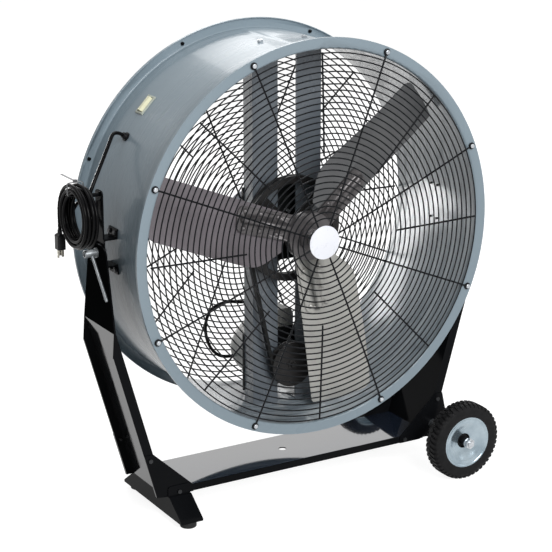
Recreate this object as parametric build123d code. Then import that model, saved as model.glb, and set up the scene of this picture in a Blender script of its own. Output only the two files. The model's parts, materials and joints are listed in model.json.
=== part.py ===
from build123d import *
import math
import os

# A 36 inch belt-driven drum fan on a tilting stand with two wheels.
# Millimetres, +Z up. The drum's axis lies along Y and it blows towards -Y.
# The origin is on the floor, straight below the drum's centre.

# Drum and its two rims
SHELL_RADIUS = 464.0
SHELL_WALL = 2.0
DRUM_DEPTH = 354.0
RIM_WIDTH = 26.0
RIM_RADIUS = SHELL_RADIUS + RIM_WIDTH
RIM_HEM = 7.0
RIM_FILLET = 6.0

# Wire guards
GUARD_RINGS = 28
FIRST_RING_RADIUS = 60.0
LAST_RING_RADIUS = SHELL_RADIUS - 9.0
RING_PITCH = (LAST_RING_RADIUS - FIRST_RING_RADIUS) / (GUARD_RINGS - 1)
RING_WIRE = 3.2
SPOKE_WIRE = 4.4
GUARD_DOME = 16.0
GUARD_SCREWS = 8
GUARD_SCREW_CIRCLE = RIM_RADIUS - RIM_WIDTH / 2
GUARD_SCREW_TURN = 22.5
GUARD_SCREW_RADIUS = 2.5
EYELET_RADIUS = 6.6
SPOKE_START = 26.0
HALF_SPOKE_START = 211.0
CENTRE_DISC_RADIUS = 41.5
CENTRE_DISC_THICKNESS = 1.5

# Struts across the drum
STRUT_FRONT = -20.0
STRUT_INNER_X = 26.0
STRUT_WIDTH = 71.0
STRUT_DEPTH = 44.0
STRUT_LIP = 24.0
PLATE_WALL = 4.0

# Shafts, bearings and belt drive
SHAFT_RADIUS = 12.7
SHAFT_FRONT = -162.0
SHAFT_REAR = 82.0
HOUSING_RADIUS = 25.4
HOUSING_BORE = 21.0
HOUSING_REAR = 74.0
HOUSING_FLANGE_RADIUS = 50.0
BEARING_WIDTH = 12.0
BEARING_PLATE_HEIGHT = 200.0
PULLEY_PLANE = -42.0
PULLEY_WIDTH = 20.0
FAN_PULLEY_RADIUS = 133.0
MOTOR_PULLEY_RADIUS = 58.0
BELT_DEPTH = 9.5
BELT_TOP_WIDTH = 13.0
BELT_FOOT_WIDTH = 8.3
GROOVE_DEPTH = 12.0
SHAFT_SPACING = 354.0

# Motor
MOTOR_RADIUS = 75.0
MOTOR_SHELL_LENGTH = 84.0
MOTOR_BELL_LENGTH = 18.0
MOTOR_SHAFT_RADIUS = 7.94
CAPACITOR_X = 28.0
CAPACITOR_WIDTH = 66.0
CAPACITOR_TOP = 114.0

# Propeller
BLADE_COUNT = 3
BLADE_TURN = 43.0
BLADE_TIP_CLEARANCE = 12.0
BLADE_TIP_RADIUS = SHELL_RADIUS - SHELL_WALL - BLADE_TIP_CLEARANCE
BLADE_ROOT_RADIUS = 64.0
BLADE_MIDDLE_Y = -123.0
BLADE_THICKNESS = 2.0
BLADE_ROOT_SLOPE = 0.26
BLADE_TIP_SLOPE = 0.33
BLADE_CAMBER = 9.0
HUB_RADIUS = 34.0
HUB_LENGTH = 48.0
HUB_PLATE_RADIUS = BLADE_ROOT_RADIUS - 4.0
HUB_PLATE_LENGTH = 24.0
SPIDER_RADIUS = 205.0
SPIDER_WIDTH = 64.0
SPIDER_THICKNESS = 5.0
SPIDER_CHORD = -8.0
SPIDER_RIB = 8.0

# Stand
BASE_TOP = 83.0
BASE_HALF_WIDTH = 85.0
BASE_SKIRT = 18.0
BASE_WALL = 3.0
BASE_HOLE_RADIUS = 10.0
DRUM_CLEARANCE = 110.0
DRUM_HEIGHT = BASE_TOP + DRUM_CLEARANCE + RIM_RADIUS
ARM_CLEARANCE = 13.0
ARM_SPLAY = 122.0
ARM_BEND_DROP = 179.0
ARM_BEND_X = RIM_RADIUS + ARM_CLEARANCE
ARM_FOOT_X = ARM_BEND_X - ARM_SPLAY
ARM_BEND_Z = DRUM_HEIGHT - ARM_BEND_DROP
ARM_TOP_RISE = 20.0
ARM_TOP_HALF_WIDTH = 45.0
ARM_WALL = 4.0
ARM_FLANGE = 24.0
ARM_FLANGE_RUNOUT = 60.0
GUSSET_RISE = 100.0
GUSSET_REACH = 75.0
GUSSET_WALL = 3.0
PIVOT_RADIUS = 6.0

# Foot
FOOT_X = ARM_FOOT_X - 34.4
FOOT_WIDTH = 61.0
FOOT_HALF_SPAN = 157.0
FOOT_WALL = 3.0
FOOT_END_HEIGHT = 21.0
PAD_RADIUS = 20.5
PAD_INSET = 0.7
PAD_Y = FOOT_HALF_SPAN - PAD_RADIUS - PAD_INSET

# Wheels and axle
AXLE_X = ARM_FOOT_X + 27.0
AXLE_RADIUS = 8.0
TYRE_RADIUS = 101.5
TYRE_WIDTH = 48.0
WHEEL_OUTER_Y = 245.0
AXLE_HALF_LENGTH = WHEEL_OUTER_Y + 17.0
RIM_SEAT_RADIUS = 67.4
WHEEL_HUB_RADIUS = 15.0

# Lock levers
LEVER_TURN = 38.7
LEVER_LENGTH = 122.0
LEVER_ROD_RADIUS = 3.8

# Switch and mains lead
SWITCH_ANGLE = 136.1
SWITCH_Y = 75.0
SWITCH_LENGTH = 44.0
SWITCH_WIDTH = 27.0
SWITCH_RISE = 8.0
GLAND_ANGLE = 147.2
GLAND_Y = 68.0
CORD_RADIUS = 4.5
COIL_RADIUS = 74.5
COIL_HEIGHT = 93.0
COIL_X = -ARM_BEND_X - 33.0
COIL_PITCH = 9.8
COIL_LAYERS = 4
COIL_SPREAD = 11.6
LEAD_RADIUS = 4.2

# Clearances
RUNNING_FIT = 0.03
SEAT_GAP = 0.05
BODY_GAP = 0.4
BOLT_CLEARANCE = 0.4

# Space left inside the coil once its layers have wound in
COIL_INNER = COIL_RADIUS - 1.5 * COIL_SPREAD - CORD_RADIUS

DRUM = Pos(0, 0, DRUM_HEIGHT)
SHELL_INSIDE = SHELL_RADIUS - SHELL_WALL
HALF_DEPTH = DRUM_DEPTH / 2

os.makedirs("parts", exist_ok=True)


def save(name, *pieces):
    """Writes the pieces of one node to its own file."""
    solids = [solid for piece in pieces for solid in piece.solids()]
    shape = solids[0] if len(solids) == 1 else Compound(children=solids)
    export_step(shape, f"parts/{name}.step")


def along(origin, direction, shape):
    """Turns a shape made along +Z to a direction, standing at an origin."""
    return Plane(origin=origin, z_dir=direction).location * shape


def rod(radius, start, end):
    """A round bar between two points."""
    run = Vector(*end) - Vector(*start)
    return along(start, run, extrude(Circle(radius), run.length))


def tube(outer, bore, start, end):
    """A round bar between two points, with a bore all along it."""
    run = Vector(*end) - Vector(*start)
    return along(start, run, extrude(Circle(outer) - Circle(bore), run.length))


def block(low, high):
    """A box between its lowest and highest corners."""
    size = [b - a for a, b in zip(low, high)]
    middle = [(a + b) / 2 for a, b in zip(low, high)]
    return Pos(*middle) * Box(*size)


def slab_xz(points, low_y, high_y):
    """A plate with an outline of (x, z) points, between two values of y."""
    outline = Plane.XZ.offset(-high_y) * make_face(Polyline(*points, close=True))
    return extrude(outline, high_y - low_y)


def slab_yz(points, low_x, high_x):
    """A plate with an outline of (y, z) points, between two values of x."""
    outline = Plane.YZ.offset(low_x) * make_face(Polyline(*points, close=True))
    return extrude(outline, high_x - low_x)


def hex_bolt(shank_radius, shank_length):
    """A hexagon head standing on z = 0 with its shank below."""
    across_flats = shank_radius * 3.4
    height = shank_radius * 1.4
    head = extrude(RegularPolygon(across_flats / 2, 6, major_radius=False), height)
    return head + Pos(0, 0, -shank_length / 2) * Cylinder(shank_radius, shank_length)


def both_ways(shape, plane):
    """A shape and its mirror image in a plane."""
    return [shape, mirror(shape, plane)]


def around_drum(radius, angle, y):
    """A point on a circle about the drum's axis, angle counted from +X up."""
    turn = math.radians(angle)
    return (radius * math.cos(turn), y, radius * math.sin(turn))


def outward(angle):
    """The direction away from the drum's axis at an angle."""
    return around_drum(1.0, angle, 0.0)


def about_y(radius, low_y, high_y):
    """A round bar on the drum's axis between two values of y."""
    return rod(radius, (0, low_y, 0), (0, high_y, 0))


# ---------------------------------------------------------------- drum shell
# One rolled sheet with a rim turned out at each end and hemmed back.
def shell_profile():
    wall = SHELL_WALL
    points = [
        (SHELL_INSIDE, -HALF_DEPTH),
        (RIM_RADIUS, -HALF_DEPTH),
        (RIM_RADIUS, RIM_HEM - HALF_DEPTH),
        (RIM_RADIUS - wall, RIM_HEM - HALF_DEPTH),
        (RIM_RADIUS - wall, wall - HALF_DEPTH),
        (SHELL_RADIUS, wall - HALF_DEPTH),
    ]
    points += [(r, -y) for r, y in reversed(points)]
    face = make_face(Polyline(*points, close=True))
    for end in (-1, 1):
        inside = face.vertices().sort_by_distance((SHELL_INSIDE, end * HALF_DEPTH, 0))[0]
        face = fillet(inside, RIM_FILLET)
        back = (SHELL_RADIUS, end * (HALF_DEPTH - wall), 0)
        face = fillet(face.vertices().sort_by_distance(back)[0], RIM_FILLET - wall)
    return face


def screw_angles():
    step = 360 / GUARD_SCREWS
    return [GUARD_SCREW_TURN + step * n for n in range(GUARD_SCREWS)]


STRUT_MIDDLE_X = STRUT_INNER_X + STRUT_WIDTH / 2
STRUT_BOLT_Y = STRUT_FRONT + STRUT_DEPTH / 2
STRUT_BOLT_RADIUS = 4.0
BRACKET_BOLT_RADIUS = 3.0
BRACKET_BOLT_Z = 45.0
BRACKET_BOLT_Y = 14.0
GLAND_BARREL = 8.0


def strut_bolt_places():
    """Foot of each strut bolt on the shell, and the direction of its head."""
    places = []
    for side in (-1, 1):
        for end in (-1, 1):
            x = side * STRUT_MIDDLE_X
            z = end * math.sqrt(SHELL_RADIUS**2 - x**2)
            places.append(((x, STRUT_BOLT_Y, z), (x, 0, z)))
    return places


def bracket_bolt_places(side):
    """Feet of the bolts that hold one pivot bracket to the shell."""
    places = []
    for y in (-BRACKET_BOLT_Y, BRACKET_BOLT_Y):
        for z in (-BRACKET_BOLT_Z, BRACKET_BOLT_Z):
            x = side * math.sqrt(SHELL_RADIUS**2 - z**2)
            places.append(((x, y, z), (x, 0, z)))
    return places


WALL_CUTTER_LENGTH = 10 * SHELL_WALL


def drum_shell():
    shell = revolve(shell_profile(), Axis.Y)
    screw_hole = GUARD_SCREW_RADIUS + BOLT_CLEARANCE
    cuts = []
    for angle in screw_angles():
        x, _, z = around_drum(GUARD_SCREW_CIRCLE, angle, 0)
        cuts.append(rod(screw_hole, (x, -DRUM_DEPTH, z), (x, DRUM_DEPTH, z)))
    bolts = [(place, STRUT_BOLT_RADIUS) for place in strut_bolt_places()]
    for side in (-1, 1):
        bolts += [(place, BRACKET_BOLT_RADIUS) for place in bracket_bolt_places(side)]
    for (foot, direction), radius in bolts:
        hole = Cylinder(radius + BOLT_CLEARANCE, WALL_CUTTER_LENGTH)
        cuts.append(along(foot, direction, hole))
    gland = around_drum(SHELL_RADIUS, GLAND_ANGLE, GLAND_Y)
    gland_hole = Cylinder(GLAND_BARREL + BOLT_CLEARANCE, WALL_CUTTER_LENGTH)
    cuts.append(along(gland, outward(GLAND_ANGLE), gland_hole))
    window = Box(WALL_CUTTER_LENGTH, SWITCH_WIDTH + 2, SWITCH_LENGTH + 2)
    cuts.append(Rot(0, -SWITCH_ANGLE, 0) * Pos(SHELL_RADIUS, SWITCH_Y, 0) * window)
    return shell - cuts


save("drum_shell", DRUM * drum_shell())


# --------------------------------------------------------------- wire guards
# Rings lie on the outside of the spokes. Every second spoke is a short one.
DOME_RADIUS = (GUARD_SCREW_CIRCLE**2 + GUARD_DOME**2) / (2 * GUARD_DOME)


def dome_y(radius):
    """How far a spoke's middle stands out of the drum's end at a radius."""
    sag = DOME_RADIUS - math.sqrt(DOME_RADIUS**2 - radius**2)
    return GUARD_DOME - sag + SPOKE_WIRE / 2


def spoke(start, end):
    """A wire spoke along +X that follows the guard's dome outside y = 0."""
    middle = (start + end) / 2
    ends = [(r, -dome_y(r)) for r in (start, middle, end)]
    path = ThreePointArc(*ends)
    section = Plane(origin=path @ 0, z_dir=path % 0) * Circle(SPOKE_WIRE / 2)
    return sweep(section, path)


def ring_radii():
    return [FIRST_RING_RADIUS + RING_PITCH * n for n in range(GUARD_RINGS)]


def ring(radius):
    """A wire ring, drawn with eight flats, that rests on the outside of the spokes."""
    y = dome_y(radius) + (SPOKE_WIRE + RING_WIRE) / 2 + SEAT_GAP
    section = RegularPolygon(RING_WIRE / 2, 8, major_radius=False, rotation=180 / 8)
    return revolve(Pos(radius, -y) * section, Axis.Y)


def guard():
    """The guard of the front end, standing outside the plane y = 0."""
    eyelet_y = -SPOKE_WIRE / 2 - SEAT_GAP
    eyelet = Pos(GUARD_SCREW_CIRCLE, eyelet_y, 0) * Rot(90, 0, 0) * Torus(EYELET_RADIUS, SPOKE_WIRE / 2)
    long_spoke = spoke(SPOKE_START, GUARD_SCREW_CIRCLE - EYELET_RADIUS) + eyelet
    short_spoke = spoke(HALF_SPOKE_START, ring_radii()[-1] + RING_WIRE / 2)
    wires = [ring(radius) for radius in ring_radii()]
    for angle in screw_angles():
        wires.append(Rot(0, -angle, 0) * long_spoke)
        wires.append(Rot(0, GUARD_SCREW_TURN - angle, 0) * short_spoke)
    return wires


def centre_disc():
    """The plain round plate that covers the spokes' inner ends."""
    back = dome_y(0) + SPOKE_WIRE / 2 + SEAT_GAP
    disc = about_y(CENTRE_DISC_RADIUS, -back - CENTRE_DISC_THICKNESS, -back)
    return fillet(disc.edges().sort_by(Axis.Y)[0], CENTRE_DISC_THICKNESS / 2)


def guard_screws():
    """Screws through the eyelets and the rim, with their nuts behind it."""
    head_seat = SPOKE_WIRE + 2 * SEAT_GAP
    head_radius = EYELET_RADIUS - 1.1
    head = extrude(Circle(head_radius), 3.4)
    head = fillet(head.edges().sort_by(Axis.Z)[-1], 1.6)
    length = head_seat + SHELL_WALL + 6
    shank = Pos(0, 0, -length / 2) * Cylinder(GUARD_SCREW_RADIUS, length)
    nut_face = -head_seat - SHELL_WALL - SEAT_GAP
    nut = Pos(0, 0, nut_face - 4) * extrude(RegularPolygon(4.2, 6, major_radius=False), 4)
    screw = head + shank + nut
    screws = []
    for angle in screw_angles():
        x, _, z = around_drum(GUARD_SCREW_CIRCLE, angle, 0)
        screws.append(along((x, -head_seat, z), (0, -1, 0), screw))
    return screws


FRONT_END = Pos(0, -HALF_DEPTH, 0)


def on_rear(shape):
    """The same piece turned round to the drum's rear end."""
    return Rot(0, 0, 180) * FRONT_END * shape


save("front_guard", *[DRUM * FRONT_END * wire for wire in guard()])
save("rear_guard", *[DRUM * on_rear(wire) for wire in guard()])
save("front_centre_disc", DRUM * FRONT_END * centre_disc())
save("rear_centre_disc", DRUM * on_rear(centre_disc()))
screws = [FRONT_END * screw for screw in guard_screws()]
screws += [on_rear(screw) for screw in guard_screws()]
save("guard_screws", *[DRUM * screw for screw in screws])


# -------------------------------------------------------------------- struts
# Each is a folded channel: web in front, side wall outside, lip behind, and a
# foot at each end that is rolled to the shell.
STRUT_OUTER_X = STRUT_INNER_X + STRUT_WIDTH
STRUT_REAR = STRUT_FRONT + STRUT_DEPTH
FOOT_SEAT = SHELL_INSIDE - SEAT_GAP


def strut():
    """The strut on the +X side."""
    wall = PLATE_WALL
    section = [
        (STRUT_INNER_X, STRUT_FRONT),
        (STRUT_OUTER_X, STRUT_FRONT),
        (STRUT_OUTER_X, STRUT_REAR),
        (STRUT_OUTER_X - STRUT_LIP, STRUT_REAR),
        (STRUT_OUTER_X - STRUT_LIP, STRUT_REAR - wall),
        (STRUT_OUTER_X - wall, STRUT_REAR - wall),
        (STRUT_OUTER_X - wall, STRUT_FRONT + wall),
        (STRUT_INNER_X, STRUT_FRONT + wall),
    ]
    outline = make_face(Polyline(*section, close=True))
    post = extrude(Pos(0, 0, -SHELL_RADIUS) * outline, 2 * SHELL_RADIUS)
    feet = about_y(SHELL_RADIUS, STRUT_FRONT, STRUT_REAR)
    feet -= about_y(FOOT_SEAT - wall, STRUT_FRONT, STRUT_REAR)
    feet &= block(
        (STRUT_INNER_X, STRUT_FRONT, -SHELL_RADIUS),
        (STRUT_OUTER_X, STRUT_REAR, SHELL_RADIUS),
    )
    body = (post + feet) & about_y(FOOT_SEAT, STRUT_FRONT - 1, STRUT_REAR + 1)
    cuts = []
    for foot, direction in strut_bolt_places():
        cuts.append(along(foot, direction, Cylinder(STRUT_BOLT_RADIUS + BOLT_CLEARANCE, 40)))
    for x, z in plate_bolt_places():
        hole = STRUT_BOLT_RADIUS + BOLT_CLEARANCE
        cuts.append(rod(hole, (x, STRUT_REAR - 2 * wall, z), (x, STRUT_REAR + 1, z)))
    return body - cuts


# Two black plates bolted to the struts' lips carry the bearings and the motor.
PLATE_HALF_WIDTH = STRUT_OUTER_X + 4.0
MOTOR_PLATE_HEIGHT = 150.0
PLATE_BOLT_X = STRUT_OUTER_X - STRUT_LIP / 2
PLATE_REAR = STRUT_REAR + PLATE_WALL
PLATE_BOLT_MARGIN = 16.0


def plate_bolt_places():
    places = []
    for middle, height in ((0, BEARING_PLATE_HEIGHT), (-SHAFT_SPACING, MOTOR_PLATE_HEIGHT)):
        rise = height / 2 - PLATE_BOLT_MARGIN
        for x in (-PLATE_BOLT_X, PLATE_BOLT_X):
            places += [(x, middle - rise), (x, middle + rise)]
    return places


def mount_plate(middle, height, bore):
    plate = block(
        (-PLATE_HALF_WIDTH, STRUT_REAR, middle - height / 2),
        (PLATE_HALF_WIDTH, PLATE_REAR, middle + height / 2),
    )
    cuts = [rod(bore, (0, STRUT_REAR - 1, middle), (0, PLATE_REAR + 1, middle))]
    for x, z in plate_bolt_places():
        hole = STRUT_BOLT_RADIUS + BOLT_CLEARANCE
        cuts.append(rod(hole, (x, STRUT_REAR - 1, z), (x, PLATE_REAR + 1, z)))
    return plate - cuts


MOTOR_BOLT_CIRCLE = 50.0
MOTOR_BOLT_DEPTH = 13.0
DRUM_BOLT_LENGTH = 16.0


def motor_bolt_places():
    places = []
    for n in range(4):
        x, _, z = around_drum(MOTOR_BOLT_CIRCLE, 45 + 90 * n, 0)
        places.append((x, z - SHAFT_SPACING))
    return places


def housing_bolt_places():
    places = []
    for n in range(4):
        x, _, z = around_drum((HOUSING_RADIUS + HOUSING_FLANGE_RADIUS) / 2, 45 + 90 * n, 0)
        places.append((x, z))
    return places


def bearing_plate():
    plate = mount_plate(0, BEARING_PLATE_HEIGHT, HOUSING_RADIUS + SEAT_GAP)
    hole = STRUT_BOLT_RADIUS + BOLT_CLEARANCE
    return plate - [
        rod(hole, (x, STRUT_REAR - 1, z), (x, PLATE_REAR + 1, z)) for x, z in housing_bolt_places()
    ]


def motor_plate():
    plate = mount_plate(-SHAFT_SPACING, MOTOR_PLATE_HEIGHT, 2 * MOTOR_SHAFT_RADIUS)
    hole = STRUT_BOLT_RADIUS + BOLT_CLEARANCE
    return plate - [
        rod(hole, (x, STRUT_REAR - 1, z), (x, PLATE_REAR + 1, z)) for x, z in motor_bolt_places()
    ]


save("right_strut", DRUM * strut())
save("left_strut", DRUM * mirror(strut(), Plane.YZ))
save("bearing_plate", DRUM * bearing_plate())
save("motor_plate", DRUM * motor_plate())

DRUM_BOLT = hex_bolt(STRUT_BOLT_RADIUS, DRUM_BOLT_LENGTH)
drum_bolts = [along(foot, direction, DRUM_BOLT) for foot, direction in strut_bolt_places()]
drum_bolts += [along((x, PLATE_REAR, z), (0, 1, 0), DRUM_BOLT) for x, z in plate_bolt_places()]
drum_bolts += [along((x, STRUT_REAR, z), (0, -1, 0), DRUM_BOLT) for x, z in motor_bolt_places()]


# ------------------------------------------------------ bearings and shafts
HOUSING_FRONT = STRUT_FRONT - 8.0
FLANGE_REAR = PLATE_REAR + 6.0


def bearing_housing():
    body = about_y(HOUSING_RADIUS, HOUSING_FRONT, HOUSING_REAR)
    body += about_y(HOUSING_FLANGE_RADIUS, PLATE_REAR, FLANGE_REAR)
    body -= about_y(HOUSING_BORE, HOUSING_FRONT - 1, HOUSING_REAR + 1)
    hole = STRUT_BOLT_RADIUS + BOLT_CLEARANCE
    return body - [
        rod(hole, (x, PLATE_REAR - 1, z), (x, FLANGE_REAR + 1, z)) for x, z in housing_bolt_places()
    ]


def bearing(front):
    """A ball bearing, drawn as one ring, from a value of y backwards."""
    ring_body = about_y(HOUSING_BORE - SEAT_GAP, front, front + BEARING_WIDTH)
    return ring_body - about_y(SHAFT_RADIUS + RUNNING_FIT, front - 1, front + BEARING_WIDTH + 1)


save("bearing_housing", DRUM * bearing_housing())
save("bearings", DRUM * bearing(HOUSING_FRONT), DRUM * bearing(HOUSING_REAR - BEARING_WIDTH))

drum_bolts += [along((x, FLANGE_REAR, z), (0, 1, 0), DRUM_BOLT) for x, z in housing_bolt_places()]
save("drum_bolts", *[DRUM * bolt for bolt in drum_bolts])

SHAFT_NUT_LENGTH = 9.0
HUB_FRONT = BLADE_MIDDLE_Y - HUB_LENGTH / 2


def fan_shaft():
    """The steel shaft with the nut that holds the propeller's hub."""
    shaft = about_y(SHAFT_RADIUS, SHAFT_FRONT, SHAFT_REAR)
    nut_outline = RegularPolygon(1.5 * SHAFT_RADIUS, 6, major_radius=False)
    nut_rear = HUB_FRONT - SEAT_GAP
    nut = along((0, nut_rear, 0), (0, -1, 0), extrude(nut_outline, SHAFT_NUT_LENGTH))
    return shaft + nut


save("fan_shaft", DRUM * fan_shaft())


# ---------------------------------------------------------- pulleys and belt
def groove(radius):
    """The V groove of a pulley on the Y axis about the plane y = 0."""
    slope = (BELT_TOP_WIDTH - BELT_FOOT_WIDTH) / 2 / BELT_DEPTH
    lift = BODY_GAP * math.hypot(1, slope)
    outer = BELT_TOP_WIDTH / 2 + lift + slope
    inner = outer - slope * (GROOVE_DEPTH + 1)
    top = radius + 1
    bottom = radius - GROOVE_DEPTH
    outline = [(top, outer), (bottom, inner), (bottom, -inner), (top, -outer)]
    return revolve(make_face(Polyline(*outline, close=True)), Axis.Y)


def pulley(radius, hub_radius, bore):
    half = PULLEY_WIDTH / 2
    wheel = about_y(radius, -half, half) - groove(radius)
    return wheel - about_y(bore, -half - 1, half + 1)


FAN_PULLEY_RIM = 18.0
FAN_PULLEY_HUB = 30.0
FAN_PULLEY_WEB = 6.0
FAN_PULLEY_SPOKES = 4
SPOKE_HALF_WIDTH = 11.0


def fan_pulley():
    """The big pulley: a rim on flat spokes about a hub."""
    half = PULLEY_WIDTH / 2
    wheel = pulley(FAN_PULLEY_RADIUS, FAN_PULLEY_HUB, SHAFT_RADIUS + RUNNING_FIT)
    inside = FAN_PULLEY_RADIUS - FAN_PULLEY_RIM
    hollow = about_y(inside, -half, half) - about_y(FAN_PULLEY_HUB, -half, half)
    web = FAN_PULLEY_WEB / 2
    for n in range(FAN_PULLEY_SPOKES):
        arm = block((0, -web, -SPOKE_HALF_WIDTH), (FAN_PULLEY_RADIUS, web, SPOKE_HALF_WIDTH))
        hollow -= Rot(0, 45 + 360 / FAN_PULLEY_SPOKES * n, 0) * arm
    return wheel - hollow


def motor_pulley():
    """The small pulley, with the bolt and washer that hold it on the shaft."""
    half = PULLEY_WIDTH / 2
    wheel = pulley(MOTOR_PULLEY_RADIUS, 0, MOTOR_SHAFT_RADIUS + RUNNING_FIT)
    cap = about_y(MOTOR_SHAFT_RADIUS + 6, -half - 2, -half)
    head = along((0, -half - 2, 0), (0, -1, 0), hex_bolt(4, 1))
    return wheel + cap + head


def belt():
    """The V belt round both pulleys, with its wide side outside."""
    pitch = BELT_DEPTH / 2 + 0.5
    big = FAN_PULLEY_RADIUS - pitch
    small = MOTOR_PULLEY_RADIUS - pitch
    drop = (big - small) / SHAFT_SPACING
    across = math.sqrt(1 - drop**2)
    high = (big * across, 0, -big * drop)
    low = (small * across, 0, -SHAFT_SPACING - small * drop)
    left_high = (-high[0], 0, high[2])
    left_low = (-low[0], 0, low[2])
    path = Wire(
        [
            Edge.make_three_point_arc(high, (0, 0, big), left_high),
            Edge.make_line(left_high, left_low),
            Edge.make_three_point_arc(left_low, (0, 0, -SHAFT_SPACING - small), low),
            Edge.make_line(low, high),
        ]
    )
    half = BELT_DEPTH / 2
    outline = [
        (half, BELT_TOP_WIDTH / 2),
        (-half, BELT_FOOT_WIDTH / 2),
        (-half, -BELT_FOOT_WIDTH / 2),
        (half, -BELT_TOP_WIDTH / 2),
    ]
    outside = Vector(across, 0, -drop)
    start = Plane(origin=high, x_dir=outside, z_dir=Vector(drop, 0, across))
    return sweep(start * make_face(Polyline(*outline, close=True)), path)


MOTOR_AXIS = Pos(0, 0, -SHAFT_SPACING)
IN_PULLEY_PLANE = Pos(0, PULLEY_PLANE, 0)
save("fan_pulley", DRUM * IN_PULLEY_PLANE * fan_pulley())
save("motor_pulley", DRUM * MOTOR_AXIS * IN_PULLEY_PLANE * motor_pulley())
save("v_belt", DRUM * IN_PULLEY_PLANE * belt())


# --------------------------------------------------------------------- motor
MOTOR_FRONT = PLATE_REAR + SEAT_GAP
SHELL_FRONT = MOTOR_FRONT + MOTOR_BELL_LENGTH
SHELL_REAR = SHELL_FRONT + MOTOR_SHELL_LENGTH
MOTOR_REAR = SHELL_REAR + MOTOR_BELL_LENGTH
SHELL_STEP = 3.0
MOTOR_BORE = MOTOR_SHAFT_RADIUS + RUNNING_FIT


def motor_shell():
    """The rolled steel shell round the windings, with the windings inside."""
    shell = about_y(MOTOR_RADIUS, SHELL_FRONT, SHELL_REAR)
    return shell - about_y(MOTOR_BORE + 6, SHELL_FRONT - 1, SHELL_REAR + 1)


def motor_bell(low_y, high_y, outer_y):
    """An end bell: a round cover with a rounded outer edge and a bearing bore."""
    bell = about_y(MOTOR_RADIUS - SHELL_STEP, low_y, high_y)
    edge = bell.edges().filter_by(GeomType.CIRCLE).sort_by_distance((0, outer_y, 0))[0]
    bell = fillet(edge, MOTOR_BELL_LENGTH / 2)
    return bell - about_y(MOTOR_BORE, low_y - 1, high_y + 1)


def front_bell():
    bell = motor_bell(MOTOR_FRONT, SHELL_FRONT - SEAT_GAP, MOTOR_FRONT)
    hole = STRUT_BOLT_RADIUS + BOLT_CLEARANCE
    lifted = MOTOR_AXIS * bell
    return lifted - [
        rod(hole, (x, MOTOR_FRONT - 1, z), (x, MOTOR_FRONT + MOTOR_BOLT_DEPTH, z))
        for x, z in motor_bolt_places()
    ]


def rear_bell():
    bell = motor_bell(SHELL_REAR + SEAT_GAP, MOTOR_REAR, MOTOR_REAR)
    return MOTOR_AXIS * bell


def motor_shaft():
    front = PULLEY_PLANE - PULLEY_WIDTH / 2 + SEAT_GAP
    return MOTOR_AXIS * about_y(MOTOR_SHAFT_RADIUS, front, MOTOR_REAR - 2)


CAPACITOR_FRONT = SHELL_FRONT + 4.0
CAPACITOR_REAR = SHELL_REAR - 4.0


def capacitor_cover():
    """The domed cover over the capacitor on top of the motor's shell."""
    half = CAPACITOR_WIDTH / 2
    cover = block(
        (CAPACITOR_X - half, CAPACITOR_FRONT, 0),
        (CAPACITOR_X + half, CAPACITOR_REAR, CAPACITOR_TOP),
    )
    top = cover.edges().filter_by(Axis.Y).group_by(Axis.Z)[-1]
    cover = fillet(top, half * 0.6)
    return MOTOR_AXIS * (cover - about_y(MOTOR_RADIUS + SEAT_GAP, 0, DRUM_DEPTH))


save("motor_shell", DRUM * MOTOR_AXIS * motor_shell())
save("motor_front_bell", DRUM * front_bell())
save("motor_rear_bell", DRUM * rear_bell())
save("motor_shaft", DRUM * motor_shaft())
save("capacitor_cover", DRUM * capacitor_cover())


# ----------------------------------------------------------------- propeller
# A blade is first made along +X. Its chord runs along Z and it is pitched
# so that its +Z edge stands to the front.
SHEET_REACH = 118.0
SHEET_INNER = 14.0


def sheet_slope(radius):
    share = (radius - SHEET_INNER) / (BLADE_TIP_RADIUS - SHEET_INNER)
    return BLADE_ROOT_SLOPE + (BLADE_TIP_SLOPE - BLADE_ROOT_SLOPE) * share


def sheet_section(radius, back, thickness):
    """A thin arched section, its front face set back from the blade's face."""
    slope = sheet_slope(radius)
    plane = Plane(origin=(radius, 0, 0), x_dir=(0, 0, 1), z_dir=(1, 0, 0))
    front = -BLADE_MIDDLE_Y - back
    rear = front - thickness
    ends = [-SHEET_REACH, 0, SHEET_REACH]
    rise = [0, BLADE_CAMBER, 0]
    near = [(s, front + slope * s - r) for s, r in zip(ends, rise)]
    far = [(s, rear + slope * s - r) for s, r in zip(ends, rise)]
    edges = [
        ThreePointArc(*near),
        Line(near[2], far[2]),
        ThreePointArc(*reversed(far)),
        Line(far[0], near[0]),
    ]
    return plane * make_face(edges)


def arched_sheet(back, thickness):
    tip = BLADE_TIP_RADIUS + 10
    return loft([sheet_section(r, back, thickness) for r in (SHEET_INNER, tip)])


BLADE_ARCH = (SHEET_REACH**2 + BLADE_CAMBER**2) / (2 * BLADE_CAMBER)


def face_y(radius, chord):
    """Where the blade's front face lies at a radius and a place on its chord."""
    bow = math.sqrt(BLADE_ARCH**2 - chord**2) - (BLADE_ARCH - BLADE_CAMBER)
    return BLADE_MIDDLE_Y - sheet_slope(radius) * chord + bow


BLADE_LEADING_CHORD = 104.0
BLADE_TIP_LEADING_CHORD = 75.0
BLADE_TRAILING_CHORD = 40.0
BLADE_TIP_TRAILING_CHORD = 72.0
BLADE_SHOULDER_RADIUS = 122.0
BLADE_TRAILING_ROUND = 8.0
BLADE_LEADING_ROUND = 20.0
BLADE_SHOULDER_ROUND = 30.0


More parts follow.
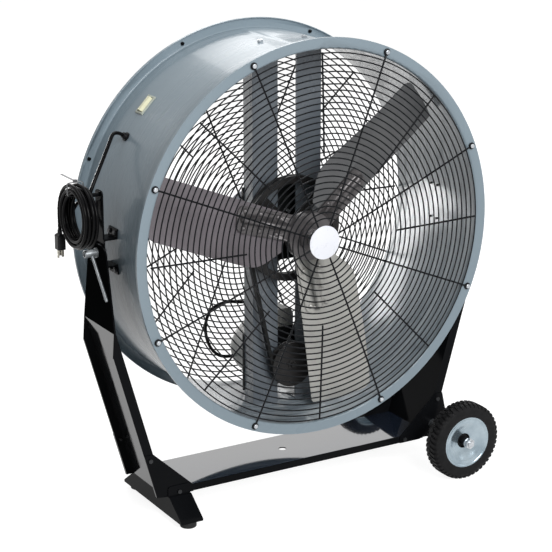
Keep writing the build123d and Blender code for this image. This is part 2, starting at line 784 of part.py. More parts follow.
def blade():
    """One blade: two long straight edges, a shoulder and a rounded tip."""
    outline = make_face(
        Polyline(
            (BLADE_ROOT_RADIUS, -BLADE_TRAILING_CHORD),
            (BLADE_TIP_RADIUS + 10, -BLADE_TIP_TRAILING_CHORD),
            (BLADE_TIP_RADIUS + 10, BLADE_TIP_LEADING_CHORD),
            (BLADE_SHOULDER_RADIUS, BLADE_LEADING_CHORD),
            (BLADE_ROOT_RADIUS, BLADE_LEADING_CHORD / 2),
            close=True,
        )
    )
    outline &= Circle(BLADE_TIP_RADIUS)
    corner = {
        (BLADE_TIP_RADIUS, -BLADE_TIP_TRAILING_CHORD): BLADE_TRAILING_ROUND,
        (BLADE_TIP_RADIUS, BLADE_TIP_LEADING_CHORD): BLADE_LEADING_ROUND,
        (BLADE_SHOULDER_RADIUS, BLADE_LEADING_CHORD): BLADE_SHOULDER_ROUND,
    }
    for (x, z), radius in corner.items():
        outline = fillet(outline.vertices().sort_by_distance((x, z, 0))[0], radius)
    prism = extrude(Plane.XZ * outline, 2 * HALF_DEPTH)
    return arched_sheet(0, BLADE_THICKNESS) & prism


def spider_y(radius, chord):
    """Where the front face of the spider's arm lies in front of the blade."""
    return face_y(radius, chord) - SPIDER_THICKNESS - SEAT_GAP


def spider_arm():
    """An arm of the hub, ribbed along its middle, on the front of a blade's root."""
    half = SPIDER_WIDTH / 2
    low = SPIDER_CHORD - half
    high = SPIDER_CHORD + half
    start = SHEET_INNER + 1
    corners = [(start, low), (SPIDER_RADIUS, low), (SPIDER_RADIUS, high), (start, high)]
    outline = make_face(Polyline(*corners, close=True))
    outline = fillet(outline.vertices().group_by(Axis.X)[-1], half * 0.6)
    prism = extrude(Plane.XZ * outline, 2 * HALF_DEPTH)
    arm = arched_sheet(-SPIDER_THICKNESS - SEAT_GAP, SPIDER_THICKNESS) & prism
    span = (HUB_RADIUS, SPIDER_RADIUS - 2 * SPIDER_RIB)
    inner, outer = [(r, spider_y(r, SPIDER_CHORD) - SPIDER_RIB / 2, SPIDER_CHORD) for r in span]
    return arm + rod(SPIDER_RIB, inner, outer) + Pos(*outer) * Sphere(SPIDER_RIB)


def turned_blades(shape):
    step = 360 / BLADE_COUNT
    return [Rot(0, -BLADE_TURN - step * n, 0) * shape for n in range(BLADE_COUNT)]


def propeller_hub():
    hub = about_y(HUB_RADIUS, HUB_FRONT, HUB_FRONT + HUB_LENGTH)
    plate_rear = HUB_FRONT + (HUB_LENGTH + HUB_PLATE_LENGTH) / 2
    hub += about_y(HUB_PLATE_RADIUS, plate_rear - HUB_PLATE_LENGTH, plate_rear)
    for arm in turned_blades(spider_arm()):
        hub += arm
    return hub - about_y(SHAFT_RADIUS + RUNNING_FIT, HUB_FRONT - 1, 0)


RIVET_RADIUS = 4.0
RIVET_HEAD = 8.0
RIVET_CHORD = 20.0
RIVET_LIFT = 0.3
RIVET_PLACES = (90.0, 140.0, 185.0)
GRIP = BLADE_THICKNESS + SPIDER_THICKNESS


def riveted(shape):
    """The shape set at each rivet's place, facing out of the spider's front."""
    placed = []
    for radius in RIVET_PLACES:
        for side in (-RIVET_CHORD, RIVET_CHORD):
            chord = SPIDER_CHORD + side
            foot = (radius, spider_y(radius, chord), chord)
            lean = -sheet_slope(radius) - chord / BLADE_ARCH
            placed.append(along(foot, (0, -1, lean), shape))
    return placed


def rivet():
    """A round head on the spider's front face, with its shank below."""
    half = RIVET_HEAD / 2
    low = (-RIVET_HEAD, -RIVET_HEAD, half)
    cap = Sphere(RIVET_HEAD) & block(low, (RIVET_HEAD, RIVET_HEAD, 2 * half))
    return Pos(0, 0, RIVET_LIFT - half) * cap + Pos(0, 0, 1 - GRIP / 2) * Cylinder(RIVET_RADIUS, GRIP)


RIVET_BORE = Cylinder(RIVET_RADIUS + SEAT_GAP, 6 * GRIP)
for number, piece in enumerate(turned_blades(blade() - riveted(RIVET_BORE)), 1):
    save(f"blade_{number}", DRUM * piece)
hub = propeller_hub()
for bore in riveted(RIVET_BORE):
    hub -= turned_blades(bore)
save("propeller_hub", DRUM * hub)
rivets = [piece for one in riveted(rivet()) for piece in turned_blades(one)]
save("blade_rivets", *[DRUM * piece for piece in rivets])


# --------------------------------------------------------------------- stand
# A base channel and two bent arms, joined by plates bolted over their edges.
ARM_FOOT_Z = BASE_TOP - BASE_SKIRT + 3.0
ARM_LEAN = (ARM_BEND_X - ARM_FOOT_X) / (ARM_BEND_Z - ARM_FOOT_Z)
ARM_SPREAD = math.hypot(1, ARM_LEAN)
ARM_TOP_Z = DRUM_HEIGHT + ARM_TOP_RISE
BASE_BOTTOM = BASE_TOP - BASE_SKIRT
GUSSET_TOP_Z = BASE_TOP + GUSSET_RISE
GUSSET_INNER_X = ARM_FOOT_X - GUSSET_REACH
STAND_BOLT_RADIUS = 3.0
STAND_BOLT_LENGTH = 16.0
ARM_BOLT_Z = BASE_TOP + 0.85 * GUSSET_RISE
BASE_BOLT_X = GUSSET_INNER_X + 14.0
SKIRT_BOLT_Z = BASE_TOP - BASE_SKIRT / 2
PLATE_OUTER_Y = BASE_HALF_WIDTH + GUSSET_WALL


def arm_x(z):
    """The inner face of the right arm's web below its bend."""
    return ARM_FOOT_X + (z - ARM_FOOT_Z) * ARM_LEAN


def flange_x(z):
    """The free edge of the right arm's flanges."""
    return arm_x(z) + ARM_FLANGE * ARM_SPREAD


ARM_BOLT = (arm_x(ARM_BOLT_Z) + ARM_FLANGE * 0.55, ARM_BOLT_Z)


def bolt_bores(places, radius, low_y, high_y):
    return [rod(radius + BOLT_CLEARANCE, (x, low_y, z), (x, high_y, z)) for x, z in places]


def base_channel():
    top = arm_x(BASE_TOP) - SEAT_GAP
    foot = arm_x(BASE_BOTTOM) - SEAT_GAP
    outline = [(-top, BASE_TOP), (top, BASE_TOP), (foot, BASE_BOTTOM), (-foot, BASE_BOTTOM)]
    channel = slab_xz(outline, -BASE_HALF_WIDTH, BASE_HALF_WIDTH)
    upper = channel.edges().filter_by(Axis.X).group_by(Axis.Z)[-1]
    channel = fillet(upper, BASE_WALL)
    inner_y = BASE_HALF_WIDTH - BASE_WALL
    channel -= block(
        (-ARM_BEND_X, -inner_y, BASE_BOTTOM - 1),
        (ARM_BEND_X, inner_y, BASE_TOP - BASE_WALL),
    )
    channel -= Pos(0, 0, BASE_TOP) * Cylinder(BASE_HOLE_RADIUS, 4 * BASE_WALL)
    places = [(BASE_BOLT_X, SKIRT_BOLT_Z), (-FOOT_X, SKIRT_BOLT_Z)]
    return channel - bolt_bores(places, STAND_BOLT_RADIUS, -PLATE_OUTER_Y, PLATE_OUTER_Y)


def arm_outline(inset, low_z, high_z):
    """The arm's outline from the side, narrowing above its bend."""
    foot = BASE_HALF_WIDTH - inset
    head = ARM_TOP_HALF_WIDTH - inset
    return [
        (-foot, low_z),
        (-foot, ARM_BEND_Z),
        (-head, high_z),
        (head, high_z),
        (foot, ARM_BEND_Z),
        (foot, low_z),
    ]


def arm():
    """The right arm: web inside, with flanges turned out along its leg."""
    wall_x = ARM_WALL * ARM_SPREAD
    runout_z = ARM_BEND_Z - ARM_FLANGE_RUNOUT
    outer_x = ARM_BEND_X + ARM_WALL
    profile = [
        (arm_x(ARM_FOOT_Z), ARM_FOOT_Z),
        (ARM_BEND_X, ARM_BEND_Z),
        (ARM_BEND_X, ARM_TOP_Z),
        (outer_x, ARM_TOP_Z),
        (outer_x, ARM_BEND_Z),
        (flange_x(runout_z), runout_z),
        (flange_x(ARM_FOOT_Z), ARM_FOOT_Z),
    ]
    body = slab_xz(profile, -BASE_HALF_WIDTH, BASE_HALF_WIDTH)
    side = slab_yz(arm_outline(0, 0, ARM_TOP_Z), 0, 2 * ARM_BEND_X)
    body &= fillet(side.edges().filter_by(Axis.X).group_by(Axis.Z)[-1], ARM_TOP_HALF_WIDTH / 2)
    bend_z = ARM_BEND_Z - (wall_x - ARM_WALL) / ARM_LEAN
    hollow = [
        (arm_x(0) + wall_x, 0),
        (outer_x, bend_z),
        (outer_x, ARM_BEND_Z),
        (2 * ARM_BEND_X, ARM_BEND_Z),
        (2 * ARM_BEND_X, 0),
    ]
    inner_y = BASE_HALF_WIDTH - ARM_WALL
    body -= slab_xz(hollow, -inner_y, inner_y)
    body -= rod(PIVOT_RADIUS + 1, (0, 0, DRUM_HEIGHT), (2 * ARM_BEND_X, 0, DRUM_HEIGHT))
    return body - bolt_bores([ARM_BOLT], STAND_BOLT_RADIUS, -PLATE_OUTER_Y, PLATE_OUTER_Y)


def corner_plate(points, base_bolt_x):
    """A plate on the front of the stand over the joint of arm and base."""
    plate = slab_xz(points, -PLATE_OUTER_Y, -BASE_HALF_WIDTH)
    places = [ARM_BOLT, (base_bolt_x, SKIRT_BOLT_Z)]
    return plate - bolt_bores(places, STAND_BOLT_RADIUS, -PLATE_OUTER_Y - 1, 0)


def gusset_points():
    """The outline that the left and right plates share, from the base up."""
    return [
        (GUSSET_INNER_X, BASE_BOTTOM),
        (GUSSET_INNER_X, BASE_TOP),
        (arm_x(GUSSET_TOP_Z), GUSSET_TOP_Z),
        (flange_x(GUSSET_TOP_Z), GUSSET_TOP_Z),
    ]


def gusset():
    points = gusset_points()
    points += [(flange_x(ARM_FOOT_Z), ARM_FOOT_Z), (arm_x(ARM_FOOT_Z), BASE_BOTTOM)]
    return mirror(corner_plate(points, FOOT_X), Plane.YZ)


AXLE_PLATE_REACH = 42.0


def axle_plate():
    """The right-hand plate, which reaches out past the arm to hold the axle."""
    points = gusset_points()
    reach = AXLE_X + AXLE_PLATE_REACH
    points += [
        (reach, TYRE_RADIUS + 0.7 * AXLE_PLATE_REACH),
        (reach, TYRE_RADIUS - 0.4 * AXLE_PLATE_REACH),
        (AXLE_X + AXLE_PLATE_REACH / 2, ARM_FOOT_Z),
        (arm_x(ARM_FOOT_Z) - 8, ARM_FOOT_Z),
        (arm_x(ARM_FOOT_Z) - 12, BASE_BOTTOM),
    ]
    low = (AXLE_X, -PLATE_OUTER_Y - 1, TYRE_RADIUS)
    bore = rod(AXLE_RADIUS + SEAT_GAP, low, (AXLE_X, 0, TYRE_RADIUS))
    return corner_plate(points, BASE_BOLT_X) - bore


notch = rod(
    AXLE_RADIUS + BOLT_CLEARANCE,
    (AXLE_X, -BASE_HALF_WIDTH - 1, TYRE_RADIUS),
    (AXLE_X, BASE_HALF_WIDTH + 1, TYRE_RADIUS),
)
save("base_channel", base_channel())
save("right_arm", arm() - notch)
save("left_arm", mirror(arm(), Plane.YZ))
save("left_gussets", *both_ways(gusset(), Plane.XZ))
save("axle_plates", *both_ways(axle_plate(), Plane.XZ))


# ---------------------------------------------------------------------- foot
# A folded cross foot under the base's left end, on two round rubber pads.
FOOT_TOP = BASE_BOTTOM
FOOT_BOTTOM = FOOT_END_HEIGHT - 6.0
FOOT_SHOULDER = PLATE_OUTER_Y + 9.0
LUG_HEIGHT = BASE_SKIRT + 8.0
PAD_SCREW_RADIUS = 3.0
PAD_RECESS = 7.0


def foot_outline(inset, bottom):
    """The cross foot seen along X, drawn in by a wall's thickness."""
    return [
        (-FOOT_HALF_SPAN + inset, bottom),
        (FOOT_HALF_SPAN - inset, bottom),
        (FOOT_HALF_SPAN - inset, FOOT_END_HEIGHT - inset),
        (FOOT_SHOULDER - inset / 2, FOOT_TOP - inset),
        (-FOOT_SHOULDER + inset / 2, FOOT_TOP - inset),
        (-FOOT_HALF_SPAN + inset, FOOT_END_HEIGHT - inset),
    ]


def cross_foot():
    half = FOOT_WIDTH / 2
    body = slab_yz(foot_outline(0, FOOT_BOTTOM), -half, half)
    hollow = foot_outline(FOOT_WALL, FOOT_BOTTOM - 1)
    body -= slab_yz(hollow, FOOT_WALL - half, half - FOOT_WALL)
    pad_front = PAD_Y - PAD_RADIUS - 1
    for end in (-1, 1):
        rows = sorted((end * pad_front, end * (FOOT_HALF_SPAN - 1)))
        body += block((-half, rows[0], FOOT_BOTTOM), (half, rows[1], FOOT_BOTTOM + FOOT_WALL))
        rows = sorted((end * (PLATE_OUTER_Y + SEAT_GAP), end * (PLATE_OUTER_Y + FOOT_WALL)))
        lug = block((-half, rows[0], FOOT_TOP - 1), (half, rows[1], FOOT_TOP + LUG_HEIGHT))
        body += fillet(lug.edges().filter_by(Axis.Y).group_by(Axis.Z)[-1], 8)
        body -= Pos(0, end * PAD_Y, FOOT_BOTTOM) * Cylinder(
            PAD_SCREW_RADIUS + BOLT_CLEARANCE, 4 * FOOT_WALL
        )
    body = Pos(-FOOT_X, 0, 0) * body
    reach = FOOT_HALF_SPAN
    return body - bolt_bores([(-FOOT_X, SKIRT_BOLT_Z)], STAND_BOLT_RADIUS, -reach, reach)


def foot_pad():
    """A rubber pad with a recess below for its screw."""
    pad = extrude(Circle(PAD_RADIUS), FOOT_BOTTOM - SEAT_GAP)
    pad = chamfer(pad.edges().group_by(Axis.Z)[0], 1.5)
    pad -= extrude(Circle(PAD_SCREW_RADIUS + BOLT_CLEARANCE), FOOT_BOTTOM)
    return pad - extrude(Circle(2.4 * PAD_SCREW_RADIUS), PAD_RECESS)


def pad_screw():
    length = FOOT_BOTTOM + FOOT_WALL + 5 - PAD_RECESS
    screw = Pos(0, 0, PAD_RECESS) * extrude(Circle(PAD_SCREW_RADIUS), length)
    head = Pos(0, 0, PAD_RECESS - 3) * extrude(Circle(2 * PAD_SCREW_RADIUS), 3 - SEAT_GAP)
    nut_face = FOOT_BOTTOM + FOOT_WALL + SEAT_GAP
    nut_outline = RegularPolygon(1.8 * PAD_SCREW_RADIUS, 6, major_radius=False)
    nut = Pos(0, 0, nut_face) * extrude(nut_outline, 4)
    return screw + head + nut + Pos(0, 0, PAD_RECESS - 1) * extrude(Circle(PAD_SCREW_RADIUS), 2)


save("cross_foot", cross_foot())
save("foot_pads", *both_ways(Pos(-FOOT_X, PAD_Y, 0) * foot_pad(), Plane.XZ))
save("pad_screws", *both_ways(Pos(-FOOT_X, PAD_Y, 0) * pad_screw(), Plane.XZ))

STAND_BOLT = hex_bolt(STAND_BOLT_RADIUS, STAND_BOLT_LENGTH)
stand_bolt_seats = [
    (ARM_BOLT[0], PLATE_OUTER_Y, ARM_BOLT_Z),
    (-ARM_BOLT[0], PLATE_OUTER_Y, ARM_BOLT_Z),
    (BASE_BOLT_X, PLATE_OUTER_Y, SKIRT_BOLT_Z),
    (-FOOT_X, PLATE_OUTER_Y + FOOT_WALL, SKIRT_BOLT_Z),
]
stand_bolts = []
for seat in stand_bolt_seats:
    stand_bolts += both_ways(along(seat, (0, 1, 0), STAND_BOLT), Plane.XZ)
save("stand_bolts", *stand_bolts)


# ---------------------------------------------------------- axle and wheels
WHEEL_Y = WHEEL_OUTER_Y - TYRE_WIDTH / 2
HUB_HALF = TYRE_WIDTH / 2 + 2.0
NUT_THICKNESS = 9.0
TYRE_SHOULDER = 9.0
TREAD_STEP = 5.0


def beside_wheel(y):
    """A point on the axle's line at a value of y."""
    return (AXLE_X, y, TYRE_RADIUS)


def axle_spacer():
    start = beside_wheel(-PLATE_OUTER_Y - SEAT_GAP)
    end = beside_wheel(-WHEEL_Y + HUB_HALF + BODY_GAP)
    return tube(AXLE_RADIUS + 4, AXLE_RADIUS + SEAT_GAP, start, end)


def axle_nut():
    face = -WHEEL_Y - HUB_HALF - BODY_GAP
    thin = NUT_THICKNESS / 4
    nut = extrude(RegularPolygon(1.5 * AXLE_RADIUS, 6, major_radius=False), NUT_THICKNESS)
    washer = extrude(Circle(1.7 * AXLE_RADIUS), thin)
    bore = extrude(Circle(AXLE_RADIUS + SEAT_GAP), NUT_THICKNESS + thin)
    return along(beside_wheel(face), (0, -1, 0), washer + Pos(0, 0, thin) * nut - bore)


def tyre():
    """The solid rubber tyre about the Y axis, with rounded shoulders."""
    half = TYRE_WIDTH / 2
    seat = RIM_SEAT_RADIUS + SEAT_GAP
    tread = Pos((seat + TYRE_RADIUS) / 2, 0) * Rectangle(TYRE_RADIUS - seat, 2 * half - TREAD_STEP)
    tread = fillet(tread.vertices().group_by(Axis.X)[-1], TYRE_SHOULDER)
    wall_top = TYRE_RADIUS - TYRE_SHOULDER - TREAD_STEP
    wall = Pos((seat + wall_top) / 2, 0) * Rectangle(wall_top - seat, 2 * half)
    wall = fillet(wall.vertices(), TREAD_STEP)
    return revolve(tread + wall, Axis.Y)


RIM_SHEET = 3.0
RIM_LIP = 4.0
RIM_BEAD = 9.0
RIM_SHOULDER = 16.0
RIM_DISH = 7.0


def wheel_rim():
    """The pressed steel rim with its hub tube, dished towards -Y."""
    half = TYRE_WIDTH / 2 - 1
    front = -half
    bore = AXLE_RADIUS + RUNNING_FIT
    hub = WHEEL_HUB_RADIUS
    edge = RIM_SEAT_RADIUS
    bead = edge - RIM_BEAD
    shoulder = edge - RIM_SHOULDER
    back = front + RIM_DISH + RIM_SHEET
    points = [
        (bore, -HUB_HALF),
        (hub, -HUB_HALF),
        (hub, front + RIM_DISH),
        (shoulder - 2 * RIM_SHEET, front + RIM_DISH),
        (shoulder, front + RIM_DISH / 2),
        (bead, front + RIM_DISH / 3),
        (edge - RIM_LIP, front),
        (edge, front),
        (edge, half),
        (edge - RIM_SHEET, half),
        (edge - RIM_SHEET, front + RIM_LIP),
        (bead + RIM_SHEET / 3, front + RIM_DISH / 3 + RIM_SHEET),
        (shoulder + RIM_SHEET / 2, front + RIM_DISH / 2 + RIM_SHEET),
        (shoulder - RIM_SHEET, back),
        (hub, back),
        (hub, HUB_HALF),
        (bore, HUB_HALF),
    ]
    return revolve(make_face(Polyline(*points, close=True)), Axis.Y)


save("axle", rod(AXLE_RADIUS, beside_wheel(-AXLE_HALF_LENGTH), beside_wheel(AXLE_HALF_LENGTH)))
save("axle_spacers", *both_ways(axle_spacer(), Plane.XZ))
save("axle_nuts", *both_ways(axle_nut(), Plane.XZ))
WHEEL_PLACE = Pos(AXLE_X, -WHEEL_Y, TYRE_RADIUS)
for name, piece in (("tyre", tyre()), ("wheel_rim", wheel_rim())):
    save(f"front_{name}", WHEEL_PLACE * piece)
    save(f"rear_{name}", mirror(WHEEL_PLACE * piece, Plane.XZ))


# ------------------------------------------------------ pivots and levers
# Hat-shaped brackets on the shell carry the pivot studs. A lever nut on each
# stud clamps the arm.
CROWN_OUTER = ARM_BEND_X - 4.0
CROWN_INNER = CROWN_OUTER - PLATE_WALL
BRACKET_HALF_WIDTH = 22.0
BRACKET_HALF_HEIGHT = 35.0
BRACKET_LIP = 20.0
LEVER_HUB_REACH = 37.0
SIDE_REACH = ARM_BEND_X + LEVER_HUB_REACH
STUD_REACH = SIDE_REACH - 3.0
WASHER_RADIUS = 20.0
LEVER_X = ARM_BEND_X + LEVER_HUB_REACH / 2 - 0.5
LEVER_COLLAR = 12.0
LEVER_HUB = 9.4


def pivot_bracket():
    """The bracket on the +X side."""
    half = BRACKET_HALF_WIDTH
    top = BRACKET_HALF_HEIGHT
    wall = PLATE_WALL
    lip = top + BRACKET_LIP
    body = block((0, -half, -lip), (CROWN_OUTER, half, lip))
    reach = SHELL_RADIUS + wall
    outside = block((0, -half - 1, top), (2 * CROWN_OUTER, half + 1, 2 * lip))
    outside -= about_y(reach, -half - 1, half + 1)
    body -= both_ways(outside, Plane.XY)
    body -= block((0, -half - 1, wall - top), (CROWN_INNER, half + 1, top - wall))
    body -= about_y(SHELL_RADIUS + SEAT_GAP, -half - 1, half + 1)
    for foot, direction in bracket_bolt_places(1):
        body -= along(foot, direction, Cylinder(BRACKET_BOLT_RADIUS + BOLT_CLEARANCE, 30))
    return body - rod(PIVOT_RADIUS + SEAT_GAP, (CROWN_INNER - 1, 0, 0), (CROWN_OUTER + 1, 0, 0))


def pivot_stud():
    """The pivot bolt, with its head inside the bracket."""
    stud = along((CROWN_INNER, 0, 0), (-1, 0, 0), hex_bolt(PIVOT_RADIUS, 1))
    stud += rod(PIVOT_RADIUS, (CROWN_INNER, 0, 0), (STUD_REACH, 0, 0))
    return stud


def pivot_washer():
    start = (CROWN_OUTER + SEAT_GAP, 0, 0)
    end = (ARM_BEND_X - BODY_GAP, 0, 0)
    return tube(WASHER_RADIUS, PIVOT_RADIUS + SEAT_GAP, start, end)


def lock_lever():
    """The zinc lever nut: a collared hub and a round handle bar."""
    inner = ARM_BEND_X + ARM_WALL + BODY_GAP
    hub = rod(LEVER_COLLAR, (inner, 0, 0), (inner + 4, 0, 0))
    hub += rod(LEVER_HUB, (inner, 0, 0), (SIDE_REACH, 0, 0))
    hub = chamfer(hub.edges().sort_by(Axis.X)[-1], 1.5)
    turn = math.radians(LEVER_TURN)
    tip = (LEVER_X, -LEVER_LENGTH * math.sin(turn), -LEVER_LENGTH * math.cos(turn))
    hub += rod(LEVER_ROD_RADIUS, (LEVER_X, 0, 0), tip) + Pos(*tip) * Sphere(LEVER_ROD_RADIUS)
    return hub - rod(PIVOT_RADIUS + RUNNING_FIT, (inner - 1, 0, 0), (SIDE_REACH + 1, 0, 0))


PEG_RADIUS = 5.0
HANGER_HALF_WIDTH = 18.0
PEG_Z = COIL_HEIGHT + COIL_INNER - PEG_RADIUS - BODY_GAP


def cord_hanger():
    """The left bracket's flat post, with a peg for the coiled lead."""
    post = block(
        (-CROWN_OUTER, -HANGER_HALF_WIDTH, BRACKET_HALF_HEIGHT - 1),
        (-CROWN_INNER, HANGER_HALF_WIDTH, PEG_Z + 2 * PEG_RADIUS),
    )
    post = fillet(post.edges().filter_by(Axis.X).group_by(Axis.Z)[-1], HANGER_HALF_WIDTH / 2)
    return post + rod(PEG_RADIUS, (-CROWN_INNER - 1, 0, PEG_Z), (-SIDE_REACH, 0, PEG_Z))


save("right_pivot_bracket", DRUM * pivot_bracket())
save("left_pivot_bracket", DRUM * (mirror(pivot_bracket(), Plane.YZ) + cord_hanger()))
save("pivot_studs", *[DRUM * stud for stud in both_ways(pivot_stud(), Plane.YZ)])
save("pivot_washers", *[DRUM * washer for washer in both_ways(pivot_washer(), Plane.YZ)])
save("right_lock_lever", DRUM * lock_lever())
save("left_lock_lever", DRUM * mirror(lock_lever(), Plane.YZ))

bracket_bolts = []
for side in (-1, 1):
    for foot, direction in bracket_bolt_places(side):
        outer = Vector(*foot) + Vector(*direction).normalized() * (PLATE_WALL + 2 * SEAT_GAP)
        bracket_bolts.append(along(outer, direction, hex_bolt(BRACKET_BOLT_RADIUS, 12)))
save("bracket_bolts", *[DRUM * bolt for bolt in bracket_bolts])


# ------------------------------------------------------------------- switch
def in_shell(shape, angle, y):
    """Turns a shape made at +X so that it lies at an angle about the drum."""
    return Rot(0, -angle, 0) * Pos(0, y, 0) * shape


SWITCH_BOX_DEPTH = 56.0
SWITCH_BOX_HIGH = 64.0
SWITCH_BOX_LOW = 127.0
SWITCH_BOX_HALF_WIDTH = 30.0
ROCKER_PIVOT = SHELL_RADIUS
BEZEL_MARGIN = 5.0
BEZEL_RISE = 3.0


def switch_box():
    """The closed box inside the shell behind the switch and the gland."""
    outer = SHELL_INSIDE - SEAT_GAP
    inner = outer - SWITCH_BOX_DEPTH
    half = SWITCH_BOX_HALF_WIDTH
    box = block((inner, -half, -SWITCH_BOX_HIGH), (outer, half, SWITCH_BOX_LOW))
    box &= about_y(outer, -half - 1, half + 1)
    clear = SWITCH_WIDTH / 2 + 1
    box -= block((outer - 14, -clear, -SWITCH_LENGTH / 2 - 1), (outer + 1, clear, SWITCH_LENGTH / 2 + 1))
    box = in_shell(box, SWITCH_ANGLE, SWITCH_Y)
    mouth = around_drum(SHELL_INSIDE, GLAND_ANGLE, GLAND_Y)
    bore = Cylinder(GLAND_BARREL + BOLT_CLEARANCE, 5.5 * GLAND_BARREL)
    return box - along(mouth, outward(GLAND_ANGLE), bore)


def switch_bezel():
    """The frame round the rocker on the outside of the shell."""
    long = SWITCH_LENGTH / 2 + BEZEL_MARGIN
    wide = SWITCH_WIDTH / 2 + BEZEL_MARGIN
    face = SHELL_RADIUS + BEZEL_RISE
    frame = block((SHELL_RADIUS - 10, -wide, -long), (face, wide, long))
    frame = chamfer(frame.faces().sort_by(Axis.X)[-1].edges(), 1.5)
    frame -= about_y(SHELL_RADIUS + SEAT_GAP, -wide - 1, wide + 1)
    hole = block(
        (SHELL_RADIUS - 20, -SWITCH_WIDTH / 2, -SWITCH_LENGTH / 2),
        (face + 1, SWITCH_WIDTH / 2, SWITCH_LENGTH / 2),
    )
    return in_shell(frame - hole, SWITCH_ANGLE, SWITCH_Y)


def switch_rocker():
    """The cream rocker with a ridge along its middle."""
    long = SWITCH_LENGTH / 2 - 1.6
    wide = SWITCH_WIDTH / 2 - 0.6
    top = ROCKER_PIVOT + SWITCH_RISE
    section = [
        (ROCKER_PIVOT - 5, -wide),
        (ROCKER_PIVOT + 1, -wide),
        (top, -wide / 3),
        (top, wide / 3),
        (ROCKER_PIVOT + 1, wide),
        (ROCKER_PIVOT - 5, wide),
    ]
    cap = extrude(Pos(0, 0, -long) * make_face(Polyline(*section, close=True)), 2 * long)
    cap = fillet(cap.edges().filter_by(Axis.Z).group_by(Axis.X)[-1], 2)
    return in_shell(cap, SWITCH_ANGLE, SWITCH_Y)


GLAND_RISE = 12.0
GLAND_FLANGE = 11.0


def cord_gland():
    """The strain relief that grips the mains lead where it leaves the shell."""
    foot = around_drum(SHELL_RADIUS, GLAND_ANGLE, GLAND_Y)
    flange = extrude(Circle(GLAND_FLANGE), 3.5)
    collar = Pos(0, 0, 3.5) * extrude(Circle(CORD_RADIUS + 3.4), GLAND_RISE - 3.5, taper=6)
    barrel = Pos(0, 0, -14) * extrude(Circle(GLAND_BARREL), 14.5)
    gland = along(foot, outward(GLAND_ANGLE), flange + collar + barrel)
    seat = about_y(SHELL_RADIUS + SEAT_GAP, GLAND_Y - 40, GLAND_Y + 40)
    skirt = tube(
        2 * GLAND_FLANGE,
        GLAND_BARREL,
        around_drum(SHELL_RADIUS - 20, GLAND_ANGLE, GLAND_Y),
        around_drum(SHELL_RADIUS + 1, GLAND_ANGLE, GLAND_Y),
    )
    return gland - (seat & skirt)


save("switch_box", DRUM * switch_box())
save("switch_bezel", DRUM * switch_bezel())
save("switch_rocker", DRUM * switch_rocker())
save("cord_gland", DRUM * cord_gland())


# --------------------------------------------------------------- mains lead
# It runs straight from the gland, turns behind the hanger and is wound up.
def cord_tube(points, radius, share=0.45):
    """A round tube of straight runs and tangent arcs through points."""
    corners = [Vector(*p) for p in points]
    runs = [b - a for a, b in zip(corners, corners[1:])]
    radii = []
    for before, after in zip(runs, runs[1:]):
        half_turn = math.radians(before.get_angle(after) / 2)
        shorter = min(before.length, after.length)
        radii.append(share * shorter / math.tan(half_turn))
    path = FilletPolyline(*points, radius=radii)
    section = Plane(origin=path @ 0, z_dir=path % 0) * Circle(radius)
    return sweep(section, path)


MOUTH = SHELL_RADIUS + GLAND_RISE
CORD_ROUTE = [
    around_drum(MOUTH, GLAND_ANGLE, GLAND_Y),
    around_drum(MOUTH + 23, GLAND_ANGLE, GLAND_Y),
    (COIL_X + 25.0, 10.0, 158.0),
    (COIL_X + 17.0, 20.0, 121.0),
    (COIL_X + 12.0, 62.0, 112.0),
    (COIL_X + 7.0, 76.0, 92.0),
]


def biarc(start, tangent, end, end_tangent):
    """Two tangent arcs from one point and direction to another."""
    a, b = Vector(*start), Vector(*end)
    ta, tb = Vector(*tangent).normalized(), Vector(*end_tangent).normalized()
    v = b - a
    t = ta + tb
    bend = 4 - t.dot(t)
    reach = (math.sqrt(v.dot(t) ** 2 + bend * v.dot(v)) - v.dot(t)) / bend
    joint = (a + ta * reach + b - tb * reach) / 2
    first = Edge.make_tangent_arc(a, ta, joint)
    second = Edge.make_tangent_arc(joint, first % 1, b)
    return [first, second]


COIL_START_TURN = 150.0
SPIRAL_HALF_TURNS = 3
LAST_TURN = 120.0
PLUG_DROP = 48.0


def coil_place(radius, turn, layer):
    """A point of the coil and its direction, turn counted from +Z to +Y."""
    angle = math.radians(turn)
    x = COIL_X - COIL_PITCH * layer
    place = (x, radius * math.sin(angle), COIL_HEIGHT + radius * math.cos(angle))
    return place, (0, math.cos(angle), -math.sin(angle))


def coil_path():
    """The wound stretch: spirals in and out, a layer further out each time."""
    before, start = (Vector(*p) for p in CORD_ROUTE[-2:])
    heading = (start - before).normalized()
    lead = start + heading * 2 * CORD_RADIUS
    edges = [Edge.make_line(start, lead)]
    radius = COIL_RADIUS
    turn = COIL_START_TURN
    place, direction = coil_place(radius, turn, 0)
    edges += biarc(lead, heading, place, direction)
    for layer in range(COIL_LAYERS):
        inward = layer % 2 == 0
        stops = [(180, layer, -COIL_SPREAD / 2 if inward else COIL_SPREAD / 2)] * SPIRAL_HALF_TURNS
        if layer + 1 < COIL_LAYERS:
            stops.append((180, layer + 1, 0))
        else:
            stops.append((LAST_TURN, layer, COIL_SPREAD * LAST_TURN / 360))
        for step, level, widening in stops:
            radius += widening
            turn += step
            goal, heading = coil_place(radius, turn, level)
            edges += biarc(place, direction, goal, heading)
            place, direction = goal, heading
    end = Vector(*place) + Vector(*direction) * PLUG_DROP
    edges.append(Edge.make_line(Vector(*place), end))
    return Wire(edges), end, Vector(*direction)


def cord_coil():
    path, end, heading = coil_path()
    section = Plane(origin=path @ 0, z_dir=path % 0) * Circle(CORD_RADIUS)
    solid = sweep(section, path)
    return solid, end, heading


PLUG_LENGTH = 38.0
PLUG_WIDTH = 26.0
PLUG_THICKNESS = 20.0
PRONG_LENGTH = 18.0


